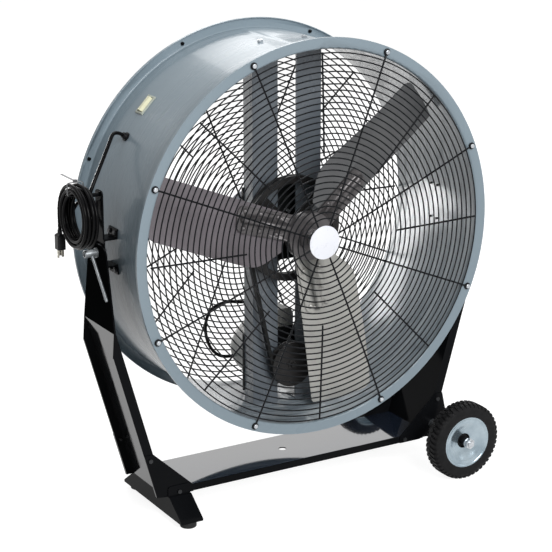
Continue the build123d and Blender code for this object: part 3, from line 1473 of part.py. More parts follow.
def plug(end, heading):
    """The moulded plug: a tapered body below a ribbed neck, made downwards."""
    body = extrude(Rectangle(PLUG_THICKNESS, PLUG_WIDTH), PLUG_LENGTH)
    body = chamfer(body.edges().group_by(Axis.Z)[0], 5)
    body = fillet(body.edges().filter_by(Axis.Z), 5)
    neck = Pos(0, 0, -9) * extrude(Circle(CORD_RADIUS + 1.2), 10)
    place = Plane(origin=end + heading * 9, x_dir=(1, 0, 0), z_dir=heading)
    prongs = []
    for y in (-6.35, 6.35):
        prongs.append(Pos(3, y, PLUG_LENGTH + PRONG_LENGTH / 2) * Box(6.3, 1.5, PRONG_LENGTH))
    ground = Pos(-8.9 + 3, 0, PLUG_LENGTH + PRONG_LENGTH / 2 + 1.5)
    prongs.append(ground * Cylinder(2.4, PRONG_LENGTH + 3))
    return place.location * (body + neck), [place.location * prong for prong in prongs]


cord = cord_tube(CORD_ROUTE, CORD_RADIUS)
coil, coil_end, coil_heading = cord_coil()
plug_body, plug_prongs = plug(coil_end, coil_heading)
save("power_cord", DRUM * cord)
save("cord_coil", DRUM * coil)
save("plug", DRUM * plug_body)
save("plug_prongs", *[DRUM * prong for prong in plug_prongs])


# ----------------------------------------------------------------- cable tie
TIE_WIDTH = 4.8
TIE_THICKNESS = 1.3
TIE_Y = 14.0
TIE_TAIL = 45.0
TIE_CLEAR = 0.4
TIE_HEAD = 8.0
TIE_DROP = 4.8
BUNDLE_DEPTH = (COIL_LAYERS - 1) * COIL_PITCH + 2 * CORD_RADIUS
BUNDLE_HEIGHT = COIL_RADIUS + CORD_RADIUS - COIL_INNER


def cord_tie():
    """A nylon cable tie round the top of the coil, with its free tail."""
    inner_x = COIL_X + CORD_RADIUS + TIE_CLEAR
    outer_x = inner_x - BUNDLE_DEPTH - 2 * TIE_CLEAR
    low = COIL_HEIGHT + COIL_INNER - TIE_DROP
    high = low + BUNDLE_HEIGHT + TIE_DROP
    wall = TIE_THICKNESS
    half = TIE_WIDTH / 2
    corner = 5 * wall
    loop = block((outer_x - wall, TIE_Y - half, low - wall), (inner_x + wall, TIE_Y + half, high + wall))
    loop = fillet(loop.edges().filter_by(Axis.Y), corner)
    hole = block((outer_x, TIE_Y - half - 1, low), (inner_x, TIE_Y + half + 1, high))
    loop -= fillet(hole.edges().filter_by(Axis.Y), corner - wall)
    middle = (outer_x + inner_x) / 2
    head_centre = (middle, TIE_Y, high + wall + TIE_HEAD / 3)
    head = Pos(*head_centre) * Box(TIE_HEAD, TIE_HEAD, TIE_HEAD * 0.8)
    tail = Pos(0, 0, TIE_TAIL / 2) * Box(TIE_WIDTH, TIE_THICKNESS, TIE_TAIL)
    return loop + head + along(head_centre, (-0.35, 0.85, 0.2), tail)


save("cord_tie", DRUM * cord_tie())


# -------------------------------------------------------------- motor's lead
# It leaves the motor's side in a loop, climbs inside the left strut, and
# crosses to the switch box along the shell.
def box_point(depth, reach):
    """A point beside the switch box, from its middle towards the drum's top."""
    turn = math.radians(SWITCH_ANGLE)
    radius = SHELL_INSIDE - depth
    x = radius * math.cos(turn) + reach * math.sin(turn)
    z = radius * math.sin(turn) - reach * math.cos(turn)
    return (x, SWITCH_Y, z)


LEAD_DROP = 14.0
LEAD_APPROACH = 58.0
LEAD_START_X = -math.sqrt(MOTOR_RADIUS**2 - LEAD_DROP**2) - 4 * BODY_GAP
LEAD_ROUTE = [
    (LEAD_START_X, 118.0, -SHAFT_SPACING - LEAD_DROP),
    (-104.0, 124.0, -372.0),
    (-132.0, 134.0, -350.0),
    (-147.0, 138.0, -310.0),
    (-147.0, 137.0, -266.0),
    (-133.0, 128.0, -232.0),
    (-103.0, 106.0, -214.0),
    (-76.0, 72.0, -212.0),
    (-58.0, 32.0, -200.0),
    (-56.0, 4.0, -165.0),
    (-57.0, 2.0, -95.0),
    (-55.0, 3.0, 20.0),
    (-57.0, 2.0, 140.0),
    (-55.0, 3.0, 260.0),
    (-56.0, 2.0, 350.0),
    (-57.0, 12.0, 398.0),
    (-70.0, 44.0, 418.0),
    (-104.0, 66.0, 420.0),
    (-160.0, 72.0, 410.0),
    box_point(SWITCH_BOX_DEPTH / 2, SWITCH_BOX_HIGH + LEAD_APPROACH),
    box_point(SWITCH_BOX_DEPTH / 2, SWITCH_BOX_HIGH + BODY_GAP),
]
save("motor_lead", DRUM * cord_tube(LEAD_ROUTE, LEAD_RADIUS))
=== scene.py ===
import json
import math

import bmesh
import bpy
from mathutils import Matrix, Vector


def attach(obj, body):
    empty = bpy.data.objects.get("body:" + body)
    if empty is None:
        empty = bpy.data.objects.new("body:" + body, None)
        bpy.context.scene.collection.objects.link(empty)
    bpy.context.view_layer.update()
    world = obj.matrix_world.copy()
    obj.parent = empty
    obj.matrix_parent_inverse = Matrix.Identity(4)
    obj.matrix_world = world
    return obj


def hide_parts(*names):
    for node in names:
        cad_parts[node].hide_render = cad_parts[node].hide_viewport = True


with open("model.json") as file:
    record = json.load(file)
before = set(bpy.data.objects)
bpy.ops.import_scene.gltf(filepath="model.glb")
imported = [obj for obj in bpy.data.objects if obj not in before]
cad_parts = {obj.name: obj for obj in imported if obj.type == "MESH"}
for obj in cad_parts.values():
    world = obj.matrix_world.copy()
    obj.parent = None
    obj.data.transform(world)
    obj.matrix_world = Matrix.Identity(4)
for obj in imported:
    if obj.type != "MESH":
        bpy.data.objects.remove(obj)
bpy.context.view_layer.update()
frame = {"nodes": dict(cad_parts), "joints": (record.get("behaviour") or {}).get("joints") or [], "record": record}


# ---------------------------------------------------------------- viewpoint
# The camera stands to the left of the fan's front and a little above it, with a
# long lens. Its place is fitted to the drum's rims, the tyres and the base in the
# photograph, and is given from the middle of the drum.
JOINT_PLACE = {joint["name"]: Vector(joint["pos_m"]) for joint in frame["joints"]}
DRUM_CENTRE = JOINT_PLACE["drum_tilt"]
CAMERA_FROM_DRUM = Vector((-2.24473, -3.79324, 1.20290))
CAMERA_AIM = Vector((0.48424, 0.82529, -0.29053))
LENS_MM = 119.95
SENSOR_MM = 36.0
scene = bpy.context.scene


def set_up(name, device, place, aim):
    """Puts a camera or a lamp in its place, pointed along its aim."""
    holder = bpy.data.objects.new(name, device)
    holder.location = place
    holder.rotation_euler = aim.to_track_quat("-Z", "Y").to_euler()
    scene.collection.objects.link(holder)
    return holder


lens = bpy.data.cameras.new("viewpoint")
lens.lens = LENS_MM
lens.sensor_width = SENSOR_MM
scene.camera = set_up("viewpoint", lens, DRUM_CENTRE + CAMERA_FROM_DRUM, CAMERA_AIM)
scene.view_settings.view_transform = "Standard"


# ------------------------------------------------------------------- studio
# A white floor and white air, which paint and zinc mirror as plain white. Four
# wide soft lamps light the fan, and two more behind the drum only put gleams on
# its paint.
WHITE = (1.0, 1.0, 1.0, 1.0)
AMBIENT = 0.34
FLOOR_GLOW = 0.88
FLOOR_COLOUR = (0.36, 0.36, 0.36, 1.0)
FLOOR_REACH = 30.0


def looked_at(nodes, links):
    """1 for light that goes to the eye, to a mirror or through glass."""
    path = nodes.new("ShaderNodeLightPath")
    seen = path.outputs["Is Camera Ray"]
    for way in ("Is Glossy Ray", "Is Transmission Ray"):
        either = nodes.new("ShaderNodeMath")
        either.operation = "MAXIMUM"
        links.new(seen, either.inputs[0])
        links.new(path.outputs[way], either.inputs[1])
        seen = either.outputs[0]
    return seen


air = bpy.data.worlds.new("studio_air")
air.use_nodes = True
nodes, links = air.node_tree.nodes, air.node_tree.links
soft_light = nodes["Background"]
soft_light.inputs["Color"].default_value = WHITE
soft_light.inputs["Strength"].default_value = AMBIENT
white_air = nodes.new("ShaderNodeBackground")
white_air.inputs["Color"].default_value = WHITE
white_air.inputs["Strength"].default_value = 1.0
either_air = nodes.new("ShaderNodeMixShader")
links.new(looked_at(nodes, links), either_air.inputs[0])
links.new(soft_light.outputs[0], either_air.inputs[1])
links.new(white_air.outputs[0], either_air.inputs[2])
links.new(either_air.outputs[0], nodes["World Output"].inputs["Surface"])
scene.world = air


def new_piece(name, shape, finish):
    """Makes a piece of a finished shape, coated with its material."""
    mesh = bpy.data.meshes.new(name)
    shape.to_mesh(mesh)
    shape.free()
    mesh.materials.append(finish)
    piece = bpy.data.objects.new(name, mesh)
    scene.collection.objects.link(piece)
    return piece


floor_paper = bpy.data.materials.new("floor_paper")
floor_paper.use_nodes = True
nodes, links = floor_paper.node_tree.nodes, floor_paper.node_tree.links
nodes.remove(nodes["Principled BSDF"])
matt = nodes.new("ShaderNodeBsdfDiffuse")
matt.inputs["Color"].default_value = FLOOR_COLOUR
glow = nodes.new("ShaderNodeEmission")
glow.inputs["Color"].default_value = WHITE
glow_strength = nodes.new("ShaderNodeMath")
glow_strength.operation = "MULTIPLY"
glow_strength.inputs[1].default_value = FLOOR_GLOW
links.new(looked_at(nodes, links), glow_strength.inputs[0])
links.new(glow_strength.outputs[0], glow.inputs["Strength"])
lit = nodes.new("ShaderNodeAddShader")
links.new(matt.outputs[0], lit.inputs[0])
links.new(glow.outputs[0], lit.inputs[1])
links.new(lit.outputs[0], nodes["Material Output"].inputs["Surface"])
shape = bmesh.new()
bmesh.ops.create_grid(shape, x_segments=1, y_segments=1, size=FLOOR_REACH)
new_piece("studio_floor", shape, floor_paper)


def soft_lamp(name, place, width, height, power):
    """A wide lamp that points at the middle of the drum and isn't seen itself."""
    light = bpy.data.lights.new(name, "AREA")
    light.shape = "RECTANGLE"
    light.size = width
    light.size_y = height
    light.energy = power
    lamp = set_up(name, light, place, DRUM_CENTRE - Vector(place))
    lamp.visible_camera = False
    return lamp


soft_lamp("window_lamp", (-0.3, -4.5, 3.2), width=2.6, height=2.6, power=235.0)
soft_lamp("side_lamp", (3.4, -2.4, 2.2), width=1.4, height=2.4, power=12.0)
soft_lamp("top_lamp", (0.4, 0.4, 4.2), width=2.4, height=2.4, power=50.0)
back_lamp = soft_lamp("back_lamp", (2.2, 3.9, 1.9), width=3.2, height=1.6, power=40.0)
back_lamp.visible_glossy = False
side_gleam = soft_lamp("gleam_lamp", (-0.38, 1.2, 0.75), width=0.28, height=1.1, power=10.0)
crest_gleam = soft_lamp("crest_lamp", (1.3, 3.3, 2.75), width=1.8, height=1.1, power=21.0)
for gleam in (side_gleam, crest_gleam):
    gleam.visible_diffuse = False


# ---------------------------------------------------------------- mains lead
# Round black rubber flex with a moulded plug. It leaves the gland, runs straight
# past the hanger and is wound up on its peg, tied at the top, with the plug below.
def seen_colour(red, green, blue):
    """A colour as a screen names it, 0 to 255, turned into the renderer's light."""
    parts = [part / 255 for part in (red, green, blue)]
    light = [((part + 0.055) / 1.055) ** 2.4 if part > 0.04045 else part / 12.92 for part in parts]
    return (*light, 1.0)


def skin_of(finish):
    """The shader that holds a coat's gloss, metal and lacquer."""
    return finish.node_tree.nodes["Principled BSDF"]


CLOUD_EDGES = (0.35, 0.70)
RUB_EDGES = (0.3, 0.7)
RUBS_PER_CLOUD = 3
LACQUER_GLOSS = 0.04


def coated(
    name,
    colour,
    clouded,
    cloud_size,
    gloss,
    metal=0.0,
    lacquer=0.0,
    grain_size=0.001,
    grain_depth=0.0,
    drawn=(1.0, 1.0, 1.0),
    mirror=0.5,
):
    """A coat whose colour clouds over to another, with uneven gloss and a fine grain."""
    finish = bpy.data.materials.new(name)
    finish.use_nodes = True
    nodes, links = finish.node_tree.nodes, finish.node_tree.links
    skin = skin_of(finish)
    skin.inputs["Metallic"].default_value = metal
    skin.inputs["Coat Weight"].default_value = lacquer
    skin.inputs["Coat Roughness"].default_value = LACQUER_GLOSS
    skin.inputs["Specular IOR Level"].default_value = mirror
    place = nodes.new("ShaderNodeTexCoord")
    stretch = nodes.new("ShaderNodeMapping")
    stretch.inputs["Scale"].default_value = drawn
    links.new(place.outputs["Object"], stretch.inputs["Vector"])

    def speckle(scale, detail):
        """An uneven pattern, stretched as the coat was rolled or drawn."""
        noise = nodes.new("ShaderNodeTexNoise")
        noise.inputs["Scale"].default_value = scale
        noise.inputs["Detail"].default_value = detail
        links.new(stretch.outputs[0], noise.inputs["Vector"])
        return noise.outputs["Fac"]

    blend = nodes.new("ShaderNodeValToRGB")
    for stop, position, shade in zip(blend.color_ramp.elements, CLOUD_EDGES, (colour, clouded)):
        stop.position = position
        stop.color = seen_colour(*shade)
    links.new(speckle(1 / cloud_size, detail=5.0), blend.inputs[0])
    links.new(blend.outputs[0], skin.inputs["Base Color"])
    sheen = nodes.new("ShaderNodeMapRange")
    for end, rub, shine in zip(("Min", "Max"), RUB_EDGES, gloss):
        sheen.inputs[f"From {end}"].default_value = rub
        sheen.inputs[f"To {end}"].default_value = shine
    links.new(speckle(RUBS_PER_CLOUD / cloud_size, detail=3.0), sheen.inputs["Value"])
    links.new(sheen.outputs[0], skin.inputs["Roughness"])
    if grain_depth:
        relief = nodes.new("ShaderNodeBump")
        relief.inputs["Strength"].default_value = 1.0
        relief.inputs["Distance"].default_value = grain_depth
        links.new(speckle(1 / grain_size, detail=2.0), relief.inputs["Height"])
        links.new(relief.outputs[0], skin.inputs["Normal"])
    return finish


CORD_RADIUS = 0.0045
COIL_RADIUS = 0.0745
COIL_HEIGHT = 0.093
COIL_X = -0.536
COIL_PITCH = 0.0098
COIL_SPREAD = 0.0116
COIL_LAYERS = 4
COIL_START_TURN = 150.0
COIL_STEP = 15.0
HALF_TURN = 180.0
SPIRAL_HALF_TURNS = 3
LAST_TURN = 120.0
PLUG_DROP = 0.048
FLEX_ROUTE = [
    (-0.4001, 0.068, 0.2579),
    (-0.4230, 0.068, 0.2716),
    (-0.4425, 0.054, 0.2440),
    (-0.5140, 0.008, 0.1500),
    (-0.519, 0.020, 0.121),
    (-0.524, 0.062, 0.112),
    (-0.529, 0.076, 0.092),
    (-0.5354, 0.0939, 0.0666),
    (-0.536, 0.057, 0.0399),
]


def from_drum(place):
    """A point given from the drum's centre, in the fan's own frame."""
    return Vector(place) + DRUM_CENTRE


def coil_place(radius, turn, across):
    """A point of the coil, its turn counted from the top towards the back."""
    angle = math.radians(turn)
    return Vector((across, radius * math.sin(angle), COIL_HEIGHT + radius * math.cos(angle)))


def coil_turns():
    """The wound flex: each half turn is part of a circle, a little in or out of the last."""
    # The smooth line cuts inside its points, so they stand a little outside the turns.
    outside = 1 / math.cos(math.radians(COIL_STEP / 2))
    places = []
    radius, turn, across = COIL_RADIUS, COIL_START_TURN, COIL_X
    for layer in range(COIL_LAYERS):
        draw_in = -COIL_SPREAD / 2 if layer % 2 == 0 else COIL_SPREAD / 2
        arcs = [(HALF_TURN, draw_in, 0.0)] * SPIRAL_HALF_TURNS
        if layer + 1 < COIL_LAYERS:
            arcs.append((HALF_TURN, 0.0, -COIL_PITCH))
        else:
            arcs.append((LAST_TURN, COIL_SPREAD * LAST_TURN / (2 * HALF_TURN), 0.0))
        for sweep, widening, climb in arcs:
            start = coil_place(radius, turn, across)
            end = coil_place(radius + widening, turn + HALF_TURN, across)
            middle = (start + end) / 2
            reach = (radius + widening / 2) * outside
            for n in range(int(sweep / COIL_STEP)):
                share = (n + 0.5) * COIL_STEP / sweep
                angle = math.radians(turn + share * sweep)
                climbed = climb * (1 - math.cos(math.pi * share)) / 2
                out = Vector((0.0, math.sin(angle), math.cos(angle)))
                places.append(middle + reach * out + Vector((climbed, 0.0, 0.0)))
            radius, turn, across = radius + widening, turn + sweep, across + climb
    end = coil_place(radius, turn, across)
    down = Vector((0.0, 0.0, -PLUG_DROP))
    return places + [end, end + down / 2, end + down]


def flexible_lead(name, places, radius, finish, smooth):
    """A round lead on one smooth line, from points given from the drum's centre."""
    line = bpy.data.curves.new(name, "CURVE")
    line.dimensions = "3D"
    line.bevel_depth = radius
    line.bevel_resolution = 3
    line.resolution_u = smooth
    line.use_fill_caps = True
    spline = line.splines.new("NURBS")
    spline.points.add(len(places) - 1)
    for knot, place in zip(spline.points, places):
        knot.co = (*from_drum(place), 1.0)
    spline.order_u = 3
    spline.use_endpoint_u = True
    line.materials.append(finish)
    lead = bpy.data.objects.new(name, line)
    scene.collection.objects.link(lead)
    return lead


flex_rubber = coated(
    "flex_rubber",
    (10, 10, 11),
    (16, 16, 17),
    cloud_size=0.03,
    gloss=(0.16, 0.26),
    grain_size=0.0016,
    grain_depth=0.00002,
    mirror=0.07,
)
flex_places = FLEX_ROUTE + coil_turns()
mains_lead = flexible_lead("mains_lead", flex_places, CORD_RADIUS, flex_rubber, smooth=4)
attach(mains_lead, "drum")
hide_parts("power_cord", "cord_coil")

BODY_OF = {
    node: body
    for body, members in frame["record"]["behaviour"]["bodies"].items()
    for node in members
}
SMOOTH_UNDER = math.radians(32.0)
FLAT_UNDER = math.radians(0.2)
SAME_PLACE = 1e-6


def fitted(name, shape, finish, node):
    """A piece that is smooth up to its edges and stands where its node stands."""
    piece = new_piece(name, shape, finish)
    piece.data.shade_smooth()
    piece.data.set_sharp_from_angle(angle=SMOOTH_UNDER)
    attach(piece, BODY_OF[node])
    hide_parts(node)
    return piece


def finished(node, finish, eased_edge=0.0):
    """Takes a piece as it was formed, joins its facets and eases its edges."""
    shape = bmesh.new()
    shape.from_mesh(frame["nodes"][node].data)
    bmesh.ops.remove_doubles(shape, verts=shape.verts, dist=SAME_PLACE)
    bmesh.ops.dissolve_limit(
        shape, angle_limit=FLAT_UNDER, verts=shape.verts, edges=shape.edges
    )
    piece = fitted(f"{node}_finished", shape, finish, node)
    if eased_edge:
        ease = piece.modifiers.new("eased_edge", "BEVEL")
        ease.width = eased_edge
        ease.segments = 2
        ease.limit_method = "ANGLE"
        ease.angle_limit = SMOOTH_UNDER
        ease.harden_normals = True
    return piece


gland_plastic = coated(
    "gland_plastic",
    (18, 18, 20),
    (26, 26, 28),
    cloud_size=0.01,
    gloss=(0.24, 0.36),
    grain_size=0.0008,
    grain_depth=0.00003,
    mirror=0.15,
)
plug_brass = coated(
    "plug_brass",
    (186, 182, 170),
    (150, 146, 136),
    cloud_size=0.006,
    gloss=(0.2, 0.34),
    metal=1.0,
)
tie_nylon = coated(
    "tie_nylon",
    (92, 93, 96),
    (70, 71, 74),
    cloud_size=0.02,
    gloss=(0.3, 0.4),
)
PLUG_EDGE = 0.0008
FINE_EDGE = 0.0002
finished("cord_gland", gland_plastic)
plug_body = finished("plug", gland_plastic, PLUG_EDGE)
plug_pins = finished("plug_prongs", plug_brass, FINE_EDGE)
cable_tie = finished("cord_tie", tie_nylon, FINE_EDGE)


# -------------------------------------------------------------- motor's lead
# The motor's own rubber lead. It loops out of the motor's side, climbs inside
# the left strut and crosses along the shell to the switch box.
LEAD_RADIUS = 0.0042
LEAD_ROUTE = [
    (-0.0753, 0.118, -0.368),
    (-0.104, 0.124, -0.372),
    (-0.132, 0.134, -0.350),
    (-0.147, 0.138, -0.310),
    (-0.147, 0.137, -0.266),
    (-0.133, 0.128, -0.232),
    (-0.103, 0.106, -0.214),
    (-0.076, 0.072, -0.212),
    (-0.058, 0.032, -0.200),
    (-0.056, 0.004, -0.165),
    (-0.057, 0.002, -0.095),
    (-0.055, 0.003, 0.020),
    (-0.057, 0.002, 0.140),
    (-0.055, 0.003, 0.260),
    (-0.056, 0.002, 0.350),
    (-0.057, 0.012, 0.398),
    (-0.070, 0.044, 0.418),
    (-0.104, 0.066, 0.420),
    (-0.160, 0.072, 0.410),
    (-0.2281, 0.075, 0.3888),
    (-0.2681, 0.075, 0.3473),
]
motor_lead = flexible_lead("motor_flex", LEAD_ROUTE, LEAD_RADIUS, flex_rubber, smooth=10)
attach(motor_lead, "drum")
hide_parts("motor_lead")


# -------------------------------------------------------------------- stand
# Folded steel sheet: a base channel and two bent arms, bolted together with
# corner plates, on a cross foot with rubber pads. It is all sprayed black. The
# base's top and the left arm's web below its bend take lighter, more mirroring
# copies of the black as painted reflection and sheen. The web above the bend
# takes a duller copy as painted shade.
stand_black = coated(
    "stand_black",
    (14, 15, 17),
    (19, 20, 22),
    cloud_size=0.20,
    gloss=(0.06, 0.12),
    grain_size=0.004,
    grain_depth=0.00002,
    mirror=0.03,
)
# Copies of the same black for chosen faces: lighter and mirroring as painted reflection and sheen, duller as
# painted shade.
painted_reflection_black = coated(
    "painted_reflection_black",
    (26, 34, 48),
    (32, 40, 54),
    cloud_size=0.20,
    gloss=(0.05, 0.10),
    lacquer=1.0,
    grain_size=0.004,
    grain_depth=0.00001,
    mirror=1.0,
)
skin_of(painted_reflection_black).inputs["Coat IOR"].default_value = 2.5
painted_sheen_black = coated(
    "painted_sheen_black",
    (22, 23, 25),
    (28, 29, 31),
    cloud_size=0.20,
    gloss=(0.06, 0.12),
    grain_size=0.004,
    grain_depth=0.00002,
    mirror=0.42,
)
painted_shade_black = coated(
    "painted_shade_black",
    (13, 14, 15),
    (17, 18, 19),
    cloud_size=0.20,
    gloss=(0.3, 0.4),
    grain_size=0.004,
    grain_depth=0.00002,
    mirror=0.0,
)
SHEET_EDGE = 0.0006
ARM_BEND_Z = 0.470
# How nearly a face looks one way to count as facing it, as a cosine.
FLAT_TOP = 0.9
FACING = 0.7


def recoated(piece, paint, chosen):
    """Gives the faces that are chosen another coat of paint."""
    piece.data.materials.append(paint)
    for face in piece.data.polygons:
        if chosen(face):
            face.material_index = len(piece.data.materials) - 1


def painted_sheen_web(face):
    """True on the left arm's outer face below its bend, which takes the painted sheen."""
    return face.normal.x < -FACING and face.center.z < ARM_BEND_Z


def painted_shade_web(face):
    """True on the left arm's outer face above its bend, which takes the painted shade."""
    return face.normal.x < -FACING and face.center.z >= ARM_BEND_Z


base = finished("base_channel", stand_black, SHEET_EDGE)
# The base's top takes a lighter, bluer, mirroring copy of the black: a painted reflection.
recoated(base, painted_reflection_black, lambda face: face.normal.z > FLAT_TOP)
left_arm = finished("left_arm", stand_black, SHEET_EDGE)
# The arm's web takes a lighter, mirroring copy below the bend as painted sheen, and a duller one above it as
# painted shade.
recoated(left_arm, painted_sheen_black, painted_sheen_web)
recoated(left_arm, painted_shade_black, painted_shade_web)
for node in ("right_arm", "left_gussets", "axle_plates", "cross_foot"):
    finished(node, stand_black, SHEET_EDGE)

bright_zinc = coated(
    "bright_zinc",
    (196, 200, 204),
    (160, 164, 168),
    cloud_size=0.008,
    gloss=(0.22, 0.38),
    metal=0.9,
    grain_size=0.0012,
    grain_depth=0.00002,
)
dull_zinc = coated(
    "dull_zinc",
    (52, 53, 55),
    (38, 39, 41),
    cloud_size=0.006,
    gloss=(0.3, 0.45),
    metal=0.6,
)
finished("stand_bolts", dull_zinc, FINE_EDGE)
finished("pad_screws", bright_zinc, FINE_EDGE)

pad_rubber = coated(
    "pad_rubber",
    (34, 34, 35),
    (46, 46, 46),
    cloud_size=0.02,
    gloss=(0.6, 0.75),
    grain_size=0.001,
    grain_depth=0.00006,
    mirror=0.2,
)
PAD_EDGE = 0.0006
finished("foot_pads", pad_rubber, PAD_EDGE)


# --------------------------------------------------------- axle and its nuts
# A zinc-plated bar through both corner plates, with a spacer tube inside each
# wheel and a nut outside it.
TURNED_EDGE = 0.0003
for node in ("axle", "axle_spacers", "axle_nuts"):
    finished(node, bright_zinc, TURNED_EDGE)


# ------------------------------------------------------------------- wheels
# Solid rubber tyres with a knobbly moulded tread, on rims that are pressed from
# steel sheet and zinc plated. The recess round each hub and the hub's tube are
# coloured with the tyre's black rubber as painted shade.
rim_zinc = coated(
    "rim_zinc",
    (164, 178, 186),
    (128, 144, 154),
    cloud_size=0.05,
    gloss=(0.16, 0.26),
    metal=0.7,
    lacquer=0.2,
    grain_size=0.002,
    grain_depth=0.00003,
)
tyre_rubber = coated(
    "tyre_rubber",
    (17, 17, 18),
    (25, 25, 26),
    cloud_size=0.03,
    gloss=(0.5, 0.68),
    grain_size=0.0012,
    grain_depth=0.00008,
    mirror=0.12,
)
WHEEL_AXIS = (0.0, 1.0, 0.0)
# Half of the tyre's section: each point's radius and its distance from the wheel's middle.
TYRE_SIDE = [
    (0.06745, 0.0240),
    (0.0860, 0.0240),
    (0.0915, 0.0225),
    (0.0960, 0.0195),
    (0.0982, 0.0140),
]
TREAD_MIDDLE = (0.0986, 0.0)
LUGS = 46
LUG_TURN = math.tau / LUGS
LUG_SHARE = 0.56
# The two rows of lugs, one on each side of the tread's middle, and their shifts in lugs.
LUG_ROWS = ((-1, 0.0), (1, 0.5))
# Each lug: its two ends across the tread, their shifts in lugs, and their feet and tops.
TREAD_LUG = ((0.0012, 0.0172), (0.0, 0.30), (0.0975, 0.0975), (0.1014, 0.1010))
SHOULDER_LUG = ((0.0160, 0.0226), (0.25, 0.25), (0.0965, 0.0890), (0.1004, 0.0955))
TYRE_STEPS = 3 * LUGS


def spun(section, steps):
    """A closed ring: a section of radii and distances along the axle, spun round it."""
    shape = bmesh.new()
    points = [shape.verts.new((radius, along, 0.0)) for radius, along in section]
    loop = [shape.edges.new(pair) for pair in zip(points, points[1:] + points[:1])]
    bmesh.ops.spin(
        shape,
        geom=points + loop,
        axis=WHEEL_AXIS,
        angle=math.tau,
        steps=steps,
        use_merge=True,
    )
    return shape


def on_axle(shape, side):
    """Sets a wheel's part in its place, with its faces outwards."""
    bmesh.ops.translate(shape, verts=shape.verts, vec=JOINT_PLACE[f"{side}_wheel_spin"])
    bmesh.ops.recalc_face_normals(shape, faces=shape.faces)
    return shape


def tyre_shape():
    """The carcass with slanted lugs in two rows and blocks on both shoulders."""
    inner_side = [(radius, -along) for radius, along in TYRE_SIDE]
    shape = spun(inner_side + [TREAD_MIDDLE] + TYRE_SIDE[::-1], TYRE_STEPS)
    lugs = []
    for way, row_shift in LUG_ROWS:
        for ends, shifts, feet, tops in (TREAD_LUG, SHOULDER_LUG):
            lug = bmesh.ops.create_cube(shape, size=1.0)["verts"]
            for corner in lug:
                end = int(corner.co.y > 0)
                radius = tops[end] if corner.co.z > 0 else feet[end]
                turn = LUG_TURN * (shifts[end] + LUG_SHARE * (corner.co.x + 0.5) + row_shift)
                corner.co = (radius * math.cos(turn), way * ends[end], radius * math.sin(turn))
            lugs += lug + list({face for corner in lug for face in corner.link_faces})
    bmesh.ops.spin(
        shape,
        geom=lugs,
        axis=WHEEL_AXIS,
        angle=math.tau - LUG_TURN,
        steps=LUGS - 1,
        use_duplicate=True,
    )
    return shape


# The rim's section: each point's radius and its distance from the wheel's middle.
RIM_SECTION = [
    (0.00803, 0.0260),
    (0.0110, 0.0260),
    (0.0110, 0.0020),
    (0.0190, 0.0020),
    (0.0196, 0.0078),
    (0.0235, 0.0086),
    (0.0300, 0.0102),
    (0.0370, 0.0127),
    (0.0440, 0.0161),
    (0.0500, 0.0192),
    (0.0545, 0.0209),
    (0.0580, 0.0204),
    (0.0606, 0.0208),
    (0.0634, 0.0230),
    (0.0674, 0.0230),
    (0.0674, -0.0230),
    (0.0644, -0.0230),
    (0.0644, 0.0170),
    (0.0580, 0.0168),
    (0.0540, 0.0177),
    (0.0440, 0.0131),
    (0.0300, 0.0072),
    (0.0220, 0.0052),
    (0.0206, -0.0010),
    (0.0150, -0.0010),
    (0.0150, -0.0260),
    (0.00803, -0.0260),
]
RIM_STEPS = 96
SHADED_RECESS_RADIUS = 0.0197


def rim_shape(way):
    """The pressed rim, its dish to the given way: a lip, a bead and a recess round the hub, which takes the second
    material as painted shade.
    """
    shape = spun([(radius, way * out) for radius, out in RIM_SECTION], RIM_STEPS)
    for face in shape.faces:
        middle = face.calc_center_median()
        if math.hypot(middle.x, middle.z) < SHADED_RECESS_RADIUS and way * middle.y > 0:
            face.material_index = 1
    return shape


for side, way in (("front", -1), ("rear", 1)):
    pressing = on_axle(rim_shape(way), side)
    rim = fitted(f"{side}_rim_pressing", pressing, rim_zinc, f"{side}_wheel_rim")
    # The tyre's black rubber paints shade into the recess round the hub.
    rim.data.materials.append(tyre_rubber)
    tread = on_axle(tyre_shape(), side)
    fitted(f"{side}_tyre_tread", tread, tyre_rubber, f"{side}_tyre")


# --------------------------------------------------------------- drum shell
# One rolled steel sheet with its edges turned out into hemmed rims. It is
# sprayed blue-grey. The inside takes a lighter, glossier copy of the paint, with
# light and dark streaks round the drum, as painted reflection.
shell_paint = coated(
    "shell_paint",
    (131, 145, 154),
    (127, 141, 150),
    cloud_size=0.10,
    gloss=(0.24, 0.32),
    lacquer=0.15,
    grain_size=0.016,
    grain_depth=0.00024,
    drawn=(0.05, 1.0, 0.05),
    mirror=0.22,
)
# The same paint, made lighter and streaked round the drum: a painted reflection for the inside.
inside_painted_reflection = coated(
    "inside_painted_reflection",
    (158, 167, 173),
    (108, 119, 127),
    cloud_size=0.022,
    gloss=(0.08, 0.42),
    lacquer=0.6,
    grain_size=0.012,
    grain_depth=0.00030,
    drawn=(0.05, 1.0, 0.05),
)
skin_of(inside_painted_reflection).inputs["Coat Roughness"].default_value = 0.14
skin_of(inside_painted_reflection).inputs["Coat IOR"].default_value = 1.7
INSIDE_RADIUS = 0.463


def inside_drum(face):
    """True on the rolled sheet's inner face, and not on the rims."""
    inward = DRUM_CENTRE - face.center
    inward.y = 0.0
    return face.normal.dot(inward.normalized()) > FACING and inward.length < INSIDE_RADIUS


drum_shell = finished("drum_shell", shell_paint)
# The inner face takes the lighter, streaked copy as painted reflection.
recoated(drum_shell, inside_painted_reflection, inside_drum)


